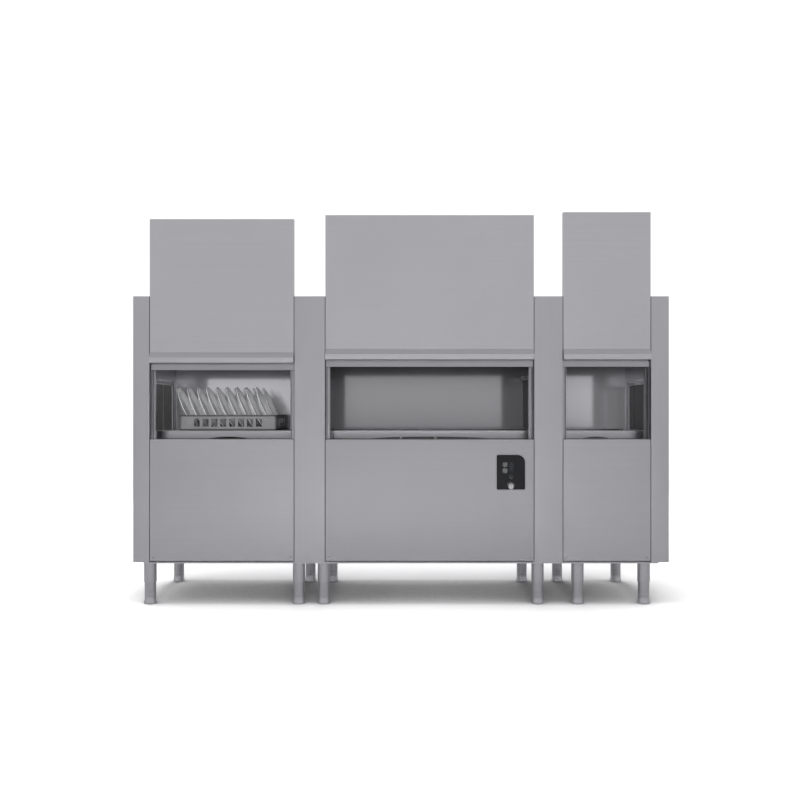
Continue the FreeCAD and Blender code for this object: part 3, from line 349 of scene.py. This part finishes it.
RUBBER_SKIN = dict(grain=700.0, bump=0.25, scuff=0.12)
RUBBER = moulded("rubber_curtain_black", colour=(0.080, 0.080, 0.084), rough=0.52, vary=0.2,
                 **RUBBER_SKIN)
RUBBER_ENTRY = moulded("rubber_curtain_entry", colour=(0.235, 0.235, 0.238), rough=0.54,
                       vary=0.2, **RUBBER_SKIN)
RUBBER_GREY = moulded("rubber_curtain_grey", colour=(0.085, 0.086, 0.089), rough=0.50,
                      vary=0.12, **RUBBER_SKIN)
# painted shade: the rack darker along its bottom edge and its rolled rim
RACK = moulded("plastic_rack_grey", colour=(0.157, 0.157, 0.163), rough=0.46, bump=0.18,
               vary=0.07, shade_bands=(0.8895, 0.9535, 0.35))
PIPE_PLASTIC = moulded("plastic_pipe_grey", colour=(0.22, 0.225, 0.24), rough=0.42, grain=700.0,
                       bump=0.12)
PAINT = moulded("paint_motor_blue_grey", colour=(0.045, 0.065, 0.095), rough=0.38, grain=500.0,
                bump=0.30, vary=0.10, coat=0.3)
BOX_PAINT = moulded("powder_coat_light_grey", colour=(0.42, 0.43, 0.44), rough=0.48,
                    grain=1200.0, bump=0.45, vary=0.04)
BUTTON = moulded("plastic_button_pale", colour=(0.078, 0.079, 0.082), rough=0.36, grain=1500.0,
                 bump=0.10, vary=0.04, coat=0.2)
KNOB = moulded("plastic_knob_white", colour=(0.265, 0.265, 0.262), rough=0.30, grain=1500.0,
               bump=0.08, vary=0.03, coat=0.3)
INK = moulded("print_pale_grey", colour=(0.40, 0.41, 0.42), rough=0.45, grain=1500.0, bump=0.05,
              vary=0.03)
FASCIA = fascia_material()
WINDOW = window_material()
PORCELAIN = porcelain_material()
BRASS = brass_material()

# the CAD pieces that wear each material
FINISH = {
    STEEL_H: "rear_panels roof_panels",
    STEEL_LOW: "lower_panel_prewash lower_panel_wash lower_panel_rinse",
    STEEL_DOOR: "door_prewash_skin door_wash_skin door_rinse_skin",
    STEEL_V: "post_entry post_prewash_wash post_wash_rinse post_exit",
    STEEL_END: "end_panels",
    STEEL_IN: "chamber_liners wash_tanks tank_strainers",
    STEEL_LIP: "door_prewash_liner door_wash_liner door_rinse_liner",
    STEEL_DIV: "zone_dividers",
    STEEL_TRIM: "base_frame",
    STEEL_GUIDE: "door_guides",
    STEEL_RAIL: "rack_rails",
    STEEL_LEG: "leg_tubes adjustable_feet",
    STEEL_PIPE: "upper_wash_arms lower_wash_arms rinse_arms pump_casings boiler "
                "prewash_pump_rotor wash_pump_rotor heating_elements panel_screws",
    STEEL_DRIVE: "balance_shaft_prewash balance_shaft_wash balance_shaft_rinse feed_carriage "
                 "dog_bar drive_crank drive_link drive_lever door_cables",
    PAINT: "pump_motors drive_gearmotor",
    PIPE_PLASTIC: "pump_pipework drain_manifold",
    BOX_PAINT: "electrical_box",
    BRASS: "water_inlet_valve",
    RUBBER: "curtain_entry curtain_prewash_wash curtain_wash_rinse curtain_exit",
    RACK: "dish_rack",
    PORCELAIN: "plates",
    FASCIA: "control_fascia",
    WINDOW: "panel_lenses",
    BUTTON: "power_button start_button",
    KNOB: "program_knob",
}
for material, names in FINISH.items():
    for name in names.split():
        piece = pieces[name]
        if not piece.material_slots:
            piece.data.materials.append(material)
        for slot in piece.material_slots:
            slot.material = material


# ------------------------------------------------------------------ smoothing of the CAD pieces
def angle_smoother(degrees):
    """A geometry node group: smooth faces, with edges over the angle kept sharp."""
    group = bpy.data.node_groups.new("smooth_by_angle_%d" % degrees, "GeometryNodeTree")
    for in_out in ("INPUT", "OUTPUT"):
        group.interface.new_socket("Geometry", in_out=in_out, socket_type="NodeSocketGeometry")
    start = group.nodes.new("NodeGroupInput")
    end = group.nodes.new("NodeGroupOutput")
    face = group.nodes.new("GeometryNodeSetShadeSmooth")
    face.domain = "FACE"
    face.inputs["Shade Smooth"].default_value = True
    edge = group.nodes.new("GeometryNodeSetShadeSmooth")
    edge.domain = "EDGE"
    edge.inputs["Shade Smooth"].default_value = False
    angle = group.nodes.new("GeometryNodeInputMeshEdgeAngle")
    compare = group.nodes.new("FunctionNodeCompare")
    compare.data_type = "FLOAT"
    compare.operation = "GREATER_THAN"
    compare.inputs["B"].default_value = math.radians(degrees)
    for source, target in (
            (angle.outputs["Unsigned Angle"], compare.inputs["A"]),
            (compare.outputs["Result"], edge.inputs["Selection"]),
            (start.outputs[0], face.inputs["Geometry"]),
            (face.outputs[0], edge.inputs["Geometry"]),
            (edge.outputs[0], end.inputs[0])):
        group.links.new(source, target)
    return group


# curved CAD faces read as smooth, folds stay crisp
SMOOTHER = angle_smoother(degrees=28)
for piece in pieces.values():
    for name in ("custom_normal", "sharp_edge"):
        attribute = piece.data.attributes.get(name)
        if attribute is not None:
            piece.data.attributes.remove(attribute)
    piece.modifiers.new("weld", "WELD").merge_threshold = 0.00002
    piece.modifiers.new("smooth", "NODES").node_group = SMOOTHER


# ------------------------------------------------------------------ mesh helpers
def new_object(name, bm, material, angle=None):
    """Turn a bmesh into an object, smooth up to an edge angle in degrees, or flat."""
    mesh = bpy.data.meshes.new(name)
    bmesh.ops.recalc_face_normals(bm, faces=bm.faces[:])
    bm.to_mesh(mesh)
    bm.free()
    mesh.materials.append(material)
    if angle is not None:
        mesh.polygons.foreach_set("use_smooth", [True] * len(mesh.polygons))
        mesh.set_sharp_from_angle(angle=math.radians(angle))
    obj = bpy.data.objects.new(name, mesh)
    scene.collection.objects.link(obj)
    return obj


def skin(bm, loops, capped=False):
    """Join closed loops of equal length, each to the next; optionally close both ends."""
    for here, there in zip(loops, loops[1:]):
        for k in range(len(here)):
            j = (k + 1) % len(here)
            bm.faces.new((here[k], there[k], there[j], here[j]))
    if capped:
        bm.faces.new(loops[0])
        bm.faces.new(list(reversed(loops[-1])))


def add_box(bm, lo, hi, radius=0.0, seg=2):
    """A box with rounded edges."""
    centre = [(a + b) / 2 for a, b in zip(lo, hi)]
    size = [b - a for a, b in zip(lo, hi)]
    place = Matrix.Translation(centre) @ Matrix.Diagonal((*size, 1.0))
    verts = bmesh.ops.create_cube(bm, size=1.0, matrix=place)["verts"]
    if radius > 0:
        edges = list({e for v in verts for e in v.link_edges})
        bmesh.ops.bevel(bm, geom=edges, offset=min(radius, min(size) * 0.49), segments=seg,
                        profile=0.5, affect="EDGES", clamp_overlap=True)


def add_tube(bm, start, end, radius, seg, end_radius=None, dome=0.0):
    """A round rod, its far end optionally narrower and domed."""
    start, end = Vector(start), Vector(end)
    along = (end - start).normalized()
    side = along.orthogonal().normalized()
    across = along.cross(side)
    end_radius = radius if end_radius is None else end_radius
    rings = [(start, radius), (end, end_radius)]
    if dome:
        steps = [k * math.pi / 8 for k in range(4)]
        rings[1:] = [(end + along * dome * math.sin(a), end_radius * math.cos(a)) for a in steps]
    turns = [2 * math.pi * k / seg for k in range(seg)]
    loops = [[bm.verts.new(centre + (side * math.cos(t) + across * math.sin(t)) * r)
              for t in turns] for centre, r in rings]
    skin(bm, loops)
    bm.faces.new(list(reversed(loops[0])))
    bm.faces.new(loops[-1])


def sweep_ring(bm, x0, x1, y0, y1, corner, profile):
    """A closed profile of (inward offset, z) swept round a rectangle with rounded corners."""
    seg = 6
    loops = []
    for cx, cy, first in ((x1 - corner, y0 + corner, -90), (x1 - corner, y1 - corner, 0),
                          (x0 + corner, y1 - corner, 90), (x0 + corner, y0 + corner, 180)):
        for k in range(seg + 1):
            a = math.radians(first + 90 * k / seg)
            loops.append([bm.verts.new((cx + (corner - inward) * math.cos(a),
                                        cy + (corner - inward) * math.sin(a), z))
                          for inward, z in profile])
    skin(bm, loops + loops[:1])


def lathe(bm, profile, seg, place, flute=None):
    """Profile of (height, radius) turned about local X.

    flute(turn, height, radius) can change the radius; a radius of 0 makes a single pole.
    """
    rings = []
    for height, radius in profile:
        if radius < 1e-7:
            rings.append([bm.verts.new(place @ Vector((height, 0, 0)))])
            continue
        ring = []
        for k in range(seg):
            t = 2 * math.pi * k / seg
            r = flute(t, height, radius) if flute else radius
            ring.append(bm.verts.new(place @ Vector((height, r * math.sin(t), r * math.cos(t)))))
        rings.append(ring)
    for here, there in zip(rings, rings[1:]):
        if len(here) > 1 and len(there) > 1:
            skin(bm, [here, there])
            continue
        for k in range(seg):
            j = (k + 1) % seg
            if len(here) == 1:
                bm.faces.new((here[0], there[j], there[k]))
            else:
                bm.faces.new((here[k], here[j], there[0]))


# ------------------------------------------------------------------ plates
# (height along the axis, radius) in mm: inside foot ring, underside, rim, well
PLATE_PROFILE = [
    (0.3, 0), (0.3, 40), (0.1, 52), (-0.2, 55), (-2.0, 56.2), (-2.5, 57.6), (-2.5, 59.6),
    (-1.9, 61.2), (0.2, 63), (0.6, 66.5), (2.2, 72.5), (5.2, 79), (9.6, 89), (13.8, 99),
    (16.4, 107), (18.0, 114), (18.9, 118.2), (19.3, 119.4), (20.0, 120.0), (20.8, 119.9),
    (21.4, 119.2), (21.5, 118.0), (20.8, 112), (19.2, 103.4), (15.2, 92.6), (11.0, 83),
    (8.0, 76), (5.6, 70.6), (4.3, 66.5), (3.7, 60), (3.5, 40), (3.5, 0)]


def build_plates():
    """Two rows of nine glazed plates that lean back in the rack, each by a slightly own angle."""
    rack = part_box("dish_rack")[0]
    s, c = math.sin(ROW_LEAN), math.cos(ROW_LEAN)
    profile = [(height * MM, radius * MM) for height, radius in PLATE_PROFILE]
    centre_z = rack.z + 0.0084 - (PLATE_RIM_HEIGHT * s - PLATE_RADIUS * c)
    bm = bmesh.new()
    for i in range(ROW_COUNT):
        for y in (-0.122, 0.122):
            x = rack.x + 0.064 + ROW_PITCH * i
            lean = math.radians(rng.uniform(-0.5, 0.5))
            foot = Vector((x, y, rack.z + 0.0086))
            centre = (x - PLATE_RIM_HEIGHT * c - PLATE_RADIUS * s, y, centre_z)
            place = Matrix.Translation(centre) @ Matrix.Rotation(-ROW_LEAN, 4, "Y")
            place = (Matrix.Translation(foot) @ Matrix.Rotation(lean, 4, "Y")
                     @ Matrix.Translation(-foot) @ place)
            lathe(bm, profile, 80, place)
    obj = new_object("plates_glazed", bm, PORCELAIN, angle=50)
    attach(obj, "rack")
    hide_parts("plates")


# ------------------------------------------------------------------ rack
# closed profiles of (inward offset, height over the rack's underside) in mm
RACK_RINGS = [
    # base
    [(0.6, 0), (0, 0.8), (0, 19.4), (0.6, 20), (2.8, 20), (3.4, 19.4), (3.4, 9), (4.2, 8.2),
     (12, 8), (12.6, 7.2), (12.6, 0.8), (12, 0)],
    # band over the windows
    [(0.8, 61.5), (0.8, 74), (4.0, 74), (4.0, 61.5), (3.4, 60.9), (1.4, 60.9)],
    # rolled rim
    [(0, 73.4), (0, 77.4), (0.8, 79.2), (2.4, 80), (4.4, 80), (6.0, 79.2), (6.8, 77.4),
     (6.8, 73.4), (5.8, 72.6), (1.0, 72.6)]]
WALL_OUT, WALL_IN = 0.0008, 0.0040  # wall faces, inward from the rack's outline
WALL_LOW, WALL_HIGH = 0.0185, 0.0625  # over the rack's underside
WINDOW_COUNT, WINDOW_PITCH, WINDOW_HALF = 8, 0.046, 0.015
# the walls across X, with the grip opening in the middle: (from y, to y, top)
END_WALLS = [(-0.236, -0.130, WALL_HIGH), (-0.100, -0.060, WALL_HIGH), (-0.061, 0.061, 0.0360),
             (0.060, 0.100, WALL_HIGH), (0.130, 0.236, WALL_HIGH)]
RIB_PITCH, RIB_INSET = 0.025, 0.010


def inward_span(edge, direction, near, far):
    """The two stations at near and far from an outline edge, in rising order."""
    return sorted((edge + direction * near, edge + direction * far))


def add_rack_walls(bm, x0, x1, y0, y1, z):
    xc = (x0 + x1) / 2
    cuts = [x0 + 0.015]
    for i in range(WINDOW_COUNT):
        middle = xc + (i - (WINDOW_COUNT - 1) / 2) * WINDOW_PITCH
        cuts += [middle - WINDOW_HALF, middle + WINDOW_HALF]
    cuts.append(x1 - 0.015)
    for x_edge, y_edge, inward in ((x0, y0, 1), (x1, y1, -1)):
        # solid wall between the windows
        ya, yb = inward_span(y_edge, inward, WALL_OUT, WALL_IN)
        for a, b in zip(cuts[0::2], cuts[1::2]):
            add_box(bm, (a, ya, z + WALL_LOW), (b, yb, z + WALL_HIGH), 0.0008)
        # shallow outer ribs beside the solid ends
        ya, yb = inward_span(y_edge, inward, 0.0001, 0.002)
        for x in (x0 + 0.030, x1 - 0.030):
            add_box(bm, (x - 0.0015, ya, z + 0.012), (x + 0.0015, yb, z + 0.074), 0.0006)
        xa, xb = inward_span(x_edge, inward, WALL_OUT, WALL_IN)
        for a, b, top in END_WALLS:
            add_box(bm, (xa, a, z + WALL_LOW), (xb, b, z + top), 0.0008)
        # rolled lip of the grip opening
        xa, xb = inward_span(x_edge, inward, 0.0004, 0.0085)
        add_box(bm, (xa, -0.062, z + 0.0610), (xb, 0.062, z + 0.0655), 0.0018, seg=3)


def add_rack_corners(bm, x0, x1, y0, y1, z):
    """Curved webs that join the walls."""
    outer, inner, low, high = 0.0152, 0.012, z + 0.018, z + 0.063
    section = ((outer, low), (outer, high), (inner, high), (inner, low))
    for x, y, sx, sy in ((x0, y0, 1, 1), (x1, y0, -1, 1), (x0, y1, 1, -1), (x1, y1, -1, -1)):
        centre = Vector((x + sx * RACK_CORNER, y + sy * RACK_CORNER, 0))
        loops = []
        for k in range(7):
            a = math.radians(90 * k / 6)
            out = Vector((-sx * math.cos(a), -sy * math.sin(a), 0))
            loops.append([bm.verts.new(centre + out * r + Vector((0, 0, height)))
                          for r, height in section])
        skin(bm, loops, capped=True)


def add_rack_floor(bm, x0, x1, y0, y1, z):
    """Heavy ribs every second pitch with light ones between, and two rows open for the dogs."""
    ya, yb = y0 + RIB_INSET, y1 - RIB_INSET
    for k in range(1, 20):
        x = x0 + RIB_PITCH * k
        if k % 2 == 0:
            half, top, spans = 0.0028, 0.0078, ((ya, yb),)
        else:
            half, top = 0.0013, 0.0050
            spans = ((ya, -0.073), (-0.027, 0.027), (0.073, yb))
        for a, b in spans:
            add_box(bm, (x - half, a, z + 0.0002), (x + half, b, z + top), 0.0007, seg=1)
    for k in range(1, 20):
        if k in (8, 12):
            continue
        half, top = (0.0024, 0.0060) if k % 2 == 1 else (0.0012, 0.0044)
        y = y0 + RIB_PITCH * k
        add_box(bm, (x0 + RIB_INSET, y - half, z + 0.0003),
                (x1 - RIB_INSET, y + half, z + top), 0.0007, seg=1)


def add_rack_pegs(bm, x0, z):
    """Tapered pegs with a thicker root, leaning with the plates."""
    up = Vector((-math.sin(ROW_LEAN), 0, math.cos(ROW_LEAN)))
    for i in range(ROW_COUNT):
        for y in (-0.175, -0.075, 0.075, 0.175):
            foot = Vector((x0 + 0.032 + ROW_PITCH * i, y, z + 0.003))
            add_tube(bm, foot, foot + up * 0.040, 0.0032, 14, end_radius=0.0022, dome=0.003)
            add_tube(bm, foot, foot + up * 0.008, 0.0046, 14, end_radius=0.0034)


def build_rack():
    """Moulded rack: rolled rim, window rows, grip openings, lattice floor and pegs."""
    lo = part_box("dish_rack")[0]
    outline = (lo.x, lo.x + RACK_SIDE, lo.y, lo.y + RACK_SIDE)
    bm = bmesh.new()
    for ring in RACK_RINGS:
        sweep_ring(bm, *outline, RACK_CORNER, [(a * MM, lo.z + b * MM) for a, b in ring])
    add_rack_walls(bm, *outline, lo.z)
    add_rack_corners(bm, *outline, lo.z)
    add_rack_floor(bm, *outline, lo.z)
    add_rack_pegs(bm, lo.x, lo.z)
    obj = new_object("dish_rack_moulded", bm, RACK, angle=40)
    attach(obj, "rack")
    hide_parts("dish_rack")


# ------------------------------------------------------------------ curtains
STRIP_COUNT = 5
STRIP_COLUMNS, STRIP_ROWS = 10, 28
STRIP_HALF_THICKNESS = 0.0013
CLAMP_HALF_LENGTH = 0.250
# (height, radius) of the studs on the clamp bars
STUD_PROFILE = [(0.0046, 0.0036), (0.0060, 0.0034), (0.0068, 0.0024), (0.0070, 0)]


def add_strip(bm, i, x, top, bottom, draw):
    """One rubber strip with a slight wave, curl and twist; neighbours overlap."""
    y0 = -CLAMP_HALF_LENGTH + i * 0.1005 - (0.005 if i else 0.0)
    width = 0.110 if 0 < i < STRIP_COUNT - 1 else 0.105
    lap = 0.0015 if i % 2 else -0.0015
    phase = draw.uniform(0, 6.28)
    wave = draw.uniform(0.0001, 0.0004)
    curl = draw.uniform(0.0, 0.0003) * (-1 if i % 2 else 1)
    twist = draw.uniform(-0.0003, 0.0003)
    sheets = []
    for side in (-1, 1):
        grid = []
        for v in range(STRIP_ROWS + 1):
            down = v / STRIP_ROWS
            row = []
            for u in range(STRIP_COLUMNS + 1):
                across = u / STRIP_COLUMNS
                # rounded lower corners
                corner = max(0.0, abs(across - 0.5) * 2 - 0.86) / 0.14
                z = top + (bottom + 0.0015 * corner * corner - top) * down
                sway = (wave * math.sin(phase + 5.2 * down + 2.2 * across) * down
                        + curl * down * down * (0.5 + 0.5 * math.cos(3.1 * (across - 0.5)))
                        + twist * down * (across - 0.5))
                thin = 0.75 if u in (0, STRIP_COLUMNS) or v in (0, STRIP_ROWS) else 1.0
                row.append(bm.verts.new((x + lap + sway + side * STRIP_HALF_THICKNESS * thin,
                                         y0 + width * across, z)))
            grid.append(row)
        sheets.append(grid)
    a, b = sheets
    for v in range(STRIP_ROWS):
        for u in range(STRIP_COLUMNS):
            bm.faces.new((a[v][u], a[v][u + 1], a[v + 1][u + 1], a[v + 1][u]))
            bm.faces.new((b[v][u], b[v + 1][u], b[v + 1][u + 1], b[v][u + 1]))
    for v in range(STRIP_ROWS):
        bm.faces.new((a[v][0], a[v + 1][0], b[v + 1][0], b[v][0]))
        bm.faces.new((a[v][-1], b[v][-1], b[v + 1][-1], a[v + 1][-1]))
    for u in range(STRIP_COLUMNS):
        bm.faces.new((a[0][u], b[0][u], b[0][u + 1], a[0][u + 1]))
        bm.faces.new((a[-1][u], a[-1][u + 1], b[-1][u + 1], b[-1][u]))


def build_curtain(node, body, material, seed):
    """Overlapping rubber strips that hang a little unevenly under a clamp bar on a rod."""
    lo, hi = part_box(node)
    x = (lo.x + hi.x) / 2
    rod_z = hi.z - 0.005
    rod_end = (hi.y - lo.y) / 2 - 0.0005
    bottom = lo.z - 0.0012
    draw = random.Random(seed)

    bm = bmesh.new()
    for i in range(STRIP_COUNT):
        add_strip(bm, i, x, rod_z - 0.012, bottom, draw)
    strips = new_object(node + "_strips", bm, material, angle=50)
    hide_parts(node)
    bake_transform(strips)

    bm = bmesh.new()
    add_tube(bm, (x, -rod_end, rod_z), (x, rod_end, rod_z), 0.0049, 24)
    for a, b in ((-0.0048, -0.0031), (0.0031, 0.0048)):
        add_box(bm, (x + a, -CLAMP_HALF_LENGTH, rod_z - 0.0165),
                (x + b, CLAMP_HALF_LENGTH, rod_z - 0.0025), 0.0006)
    for i in range(10):
        for turn in (math.pi, 0):
            place = Matrix.Translation((x, -0.225 + 0.05 * i, rod_z - 0.0095))
            lathe(bm, STUD_PROFILE, 12, place @ Matrix.Rotation(turn, 4, "Z"))
    clamp = new_object(node + "_clamp_and_rod", bm, STEEL_PIPE, angle=35)
    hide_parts(node)
    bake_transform(clamp)


# ------------------------------------------------------------------ control panel
KNOB_DEPTH = 0.0095
# (height from the panel, radius): collar, fluted grip, dished face
KNOB_PROFILE = [
    (0.0, 0), (0.0, 0.0136), (0.0003, 0.0140), (0.0014, 0.0140), (0.0018, 0.0132),
    (0.0022, 0.0130), (0.0082, 0.0122), (0.0090, 0.0119), (0.0094, 0.0112),
    (KNOB_DEPTH, 0.0104), (0.0093, 0.0098), (0.0091, 0.0060), (0.0090, 0)]


def knob_flute(turn, height, radius):
    """Eighteen shallow flutes round the grip."""
    if 0.0018 < height < 0.0088 and radius > 0.011:
        return radius - 0.00055 * (0.5 - 0.5 * math.cos(18 * turn))
    return radius


def build_knob():
    """Fluted selector knob with a pointer line; returns its centre in x and z."""
    lo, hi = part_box("program_knob")
    x, z = (lo.x + hi.x) / 2, (lo.z + hi.z) / 2
    bm = bmesh.new()
    place = Matrix.Translation((x, lo.y + KNOB_DEPTH, z)) @ Matrix.Rotation(-math.pi / 2, 4, "Z")
    lathe(bm, KNOB_PROFILE, 108, place, flute=knob_flute)
    knob = new_object("program_knob_fluted", bm, KNOB, angle=38)
    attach(knob, "knob")
    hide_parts("program_knob")

    bm = bmesh.new()
    add_box(bm, (x - 0.0007, lo.y - 0.00005, z + 0.0030),
            (x + 0.0007, lo.y + 0.0009, z + 0.0113), 0.0002, seg=1)
    pointer = new_object("program_knob_pointer", bm, FASCIA, angle=38)
    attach(pointer, "knob")
    return x, z


def build_panel_marks(knob_x, knob_z):
    """Pale printed marks: a scale over the knob and a line under each button."""
    face_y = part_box("control_fascia")[0].y
    y0, y1 = face_y - 0.00012, face_y + 0.0002
    bm = bmesh.new()

    def arc(inner, outer, first, last, steps):
        """A flat arc round the knob, between two angles in degrees."""
        section = ((inner, y0), (outer, y0), (outer, y1), (inner, y1))
        loops = []
        for k in range(steps + 1):
            a = math.radians(first + (last - first) * k / steps)
            loops.append([bm.verts.new((knob_x + r * math.cos(a), y, knob_z + r * math.sin(a)))
                          for r, y in section])
        skin(bm, loops, capped=True)

    arc(0.0170, 0.0178, 20, 160, steps=28)
    for k in range(8):
        a = 20 + 20 * k
        half = 2.2 if k in (0, 7) else 1.4
        arc(0.0186, 0.0232 if k % 2 == 0 else 0.0215, a - half, a + half, steps=3)
    for name in ("power_button", "start_button"):
        lo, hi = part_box(name)
        add_box(bm, (lo.x + 0.003, y0, lo.z - 0.0030), (hi.x - 0.003, y1, lo.z - 0.0021))
    obj = new_object("panel_printed_marks", bm, INK)
    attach(obj, "cabinet")


# ------------------------------------------------------------------ screws
# (height, radius): domed head, then the socket walls and floor
SCREW_PROFILE = [
    (0.0, 0.0055), (0.0006, 0.0055), (0.0012, 0.0051), (0.0018, 0.0042), (0.0021, 0.0032),
    (0.0022, 0.0024), (0.0021, 0.00205), (0.0008, 0.00195), (0.0007, 0)]


def hexagon_socket(turn, height, radius):
    """Make the rings of the socket six-sided."""
    if radius < 0.0021:
        return radius / math.cos((turn % (math.pi / 3)) - math.pi / 6) * 0.95
    return radius


def build_screws():
    """Dome head screws with a hexagon socket, one at each place of the fastener group."""
    groups = []
    for vertex in pieces["panel_screws"].data.vertices:
        co = vertex.co.copy()
        for group in groups:
            if (group[0] - co).length < 0.016:
                group.append(co)
                break
        else:
            groups.append([co])
    bm = bmesh.new()
    for group in groups:
        lo = Vector([min(co[i] for co in group) for i in range(3)])
        hi = Vector([max(co[i] for co in group) for i in range(3)])
        base, size = (lo + hi) / 2, hi - lo
        # a head is thinnest along its axis, which points away from the machine's middle
        axis = min(range(3), key=lambda i: size[i])
        sign = 1 if base[axis] > 0 else -1
        normal = Vector([sign if i == axis else 0 for i in range(3)])
        base[axis] = (lo if sign > 0 else hi)[axis]
        place = (Matrix.Translation(base) @ normal.to_track_quat("X", "Z").to_matrix().to_4x4()
                 @ Matrix.Rotation(rng.uniform(0, 6.28), 4, "X"))
        lathe(bm, SCREW_PROFILE, 36, place, flute=hexagon_socket)
    obj = new_object("panel_screws_domed", bm, STEEL_PIPE, angle=35)
    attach(obj, "cabinet")
    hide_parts("panel_screws")


build_plates()
build_rack()
# CAD piece, moving body, rubber, random seed
for curtain in (("curtain_entry", "entry_curtain", RUBBER_ENTRY, 11),
                ("curtain_prewash_wash", "prewash_wash_curtain", RUBBER, 12),
                ("curtain_wash_rinse", "wash_rinse_curtain", RUBBER, 13),
                ("curtain_exit", "exit_curtain", RUBBER_GREY, 14)):
    build_curtain(*curtain)
build_panel_marks(*build_knob())
build_screws()


# ------------------------------------------------------------------ floor, world, lights, camera
BACKDROP_STRENGTH = 1.05  # white that the camera sees behind and far from the machine


def floor_material():
    m = Mat("floor_pale")
    drift = m.noise((0.7, 0.7, 0.7), detail=3.0, rough=0.5)
    camera = m.camera_ray()
    # the floor is over-bright around the machine, so it only shows tone under it; that tone is a
    # painted shadow, darker where ambient occlusion finds the machine overhead
    open_sky = m.occlusion(samples=8, distance=0.9)
    seen = m.drift(drift, (0.985, 0.985, 0.985), (1.0, 1.0, 1.0))
    seen = m.mix(1.0, seen, (1.46, 1.46, 1.46), blend="MULTIPLY")
    seen = m.mix(m.remap(open_sky, source=(0.12, 0.80)), (0.29, 0.29, 0.295), seen)
    m.set("Base Color", m.mix(camera, (0.46, 0.46, 0.465), seen))
    m.set("Specular IOR Level", 0.0)
    m.set("Roughness", 1.0)
    # far out it fades into the white backdrop
    length = m.node("ShaderNodeVectorMath", operation="LENGTH")
    m.feed(length.inputs[0], m.coords.outputs["Object"])
    far = m.math("MULTIPLY", m.remap(length.outputs["Value"], source=(3.2, 9.0)), camera)
    glow = m.node("ShaderNodeEmission")
    m.feed(glow.inputs[0], (1, 1, 1))
    m.feed(glow.inputs[1], BACKDROP_STRENGTH)
    m.feed(m.out.inputs[0], m.mix_shader(far, m.bsdf.outputs[0], glow.outputs[0]))
    return m.material


def add_floor():
    bm = bmesh.new()
    half = 60.0
    corners = ((-half, -half), (half, -half), (half, half), (-half, half))
    bm.faces.new([bm.verts.new((x, y, 0)) for x, y in corners])
    obj = new_object("floor", bm, floor_material())
    obj.location.z = -0.0005


def add_world():
    """A soft grey gradient lights the scene; the camera sees plain white."""
    world = bpy.data.worlds.new("studio")
    scene.world = world
    world.use_nodes = True
    w = Nodes(world.node_tree, "ShaderNodeOutputWorld")
    ramp = w.node("ShaderNodeValToRGB")
    w.feed(ramp.inputs[0], w.remap(w.axis(w.coords.outputs["Generated"], "Z"), source=(-1, 1)))
    # positions run from straight down at 0 to straight up at 1
    elements = ramp.color_ramp.elements
    elements[0].position, elements[0].color = 0.0, (0.46, 0.46, 0.46, 1)
    elements[1].position, elements[1].color = 1.0, (0.42, 0.42, 0.43, 1)
    for position, grey in ((0.40, 0.54), (0.50, 0.60), (0.60, 0.66), (0.72, 0.62), (0.86, 0.47)):
        elements.new(position).color = (grey, grey, grey * 1.01, 1)
    shaders = []
    for colour, strength in ((ramp.outputs[0], 1.0), ((1, 1, 1), BACKDROP_STRENGTH)):
        background = w.node("ShaderNodeBackground")
        w.feed(background.inputs[0], colour)
        w.feed(background.inputs[1], strength)
        shaders.append(background.outputs[0])
    w.feed(w.out.inputs[0], w.mix_shader(w.camera_ray(), *shaders))


def add_area(name, location, target, size, power):
    """A lamp for matt surfaces only, so that it leaves no hard patches in the steel."""
    light = bpy.data.lights.new(name, "AREA")
    light.energy = power
    light.shape = "RECTANGLE"
    light.size, light.size_y = size
    obj = bpy.data.objects.new(name, light)
    obj.location = location
    obj.rotation_mode = "QUATERNION"
    obj.rotation_quaternion = (Vector(target) - Vector(location)).to_track_quat("-Z", "Y")
    obj.visible_glossy = False
    scene.collection.objects.link(obj)


def add_camera():
    """Level, looking along +Y at the front."""
    camera = bpy.data.cameras.new("camera")
    camera.sensor_width = 36.0
    camera.lens = 41.985
    camera.shift_y = 0.0125
    obj = bpy.data.objects.new("camera", camera)
    obj.location = (-0.005, -5.085, 0.987)
    obj.rotation_euler = (math.pi / 2, 0, 0)
    scene.collection.objects.link(obj)
    scene.camera = obj


add_floor()
add_world()
add_area("key_top", location=(-0.8, -1.5, 5.5), target=(0, 0, 0.6), size=(5.0, 4.0), power=110)
add_area("fill_front", location=(0.0, -6.5, 1.5), target=(0, 0, 0.95), size=(3.0, 1.6), power=390)
add_area("fill_back", location=(0.0, 6.5, 1.9), target=(0, 0.5, 0.2), size=(3.0, 1.6), power=240)
add_camera()
scene.view_settings.view_transform = "Standard"
scene.view_settings.look = "None"

bpy.context.view_layer.update()
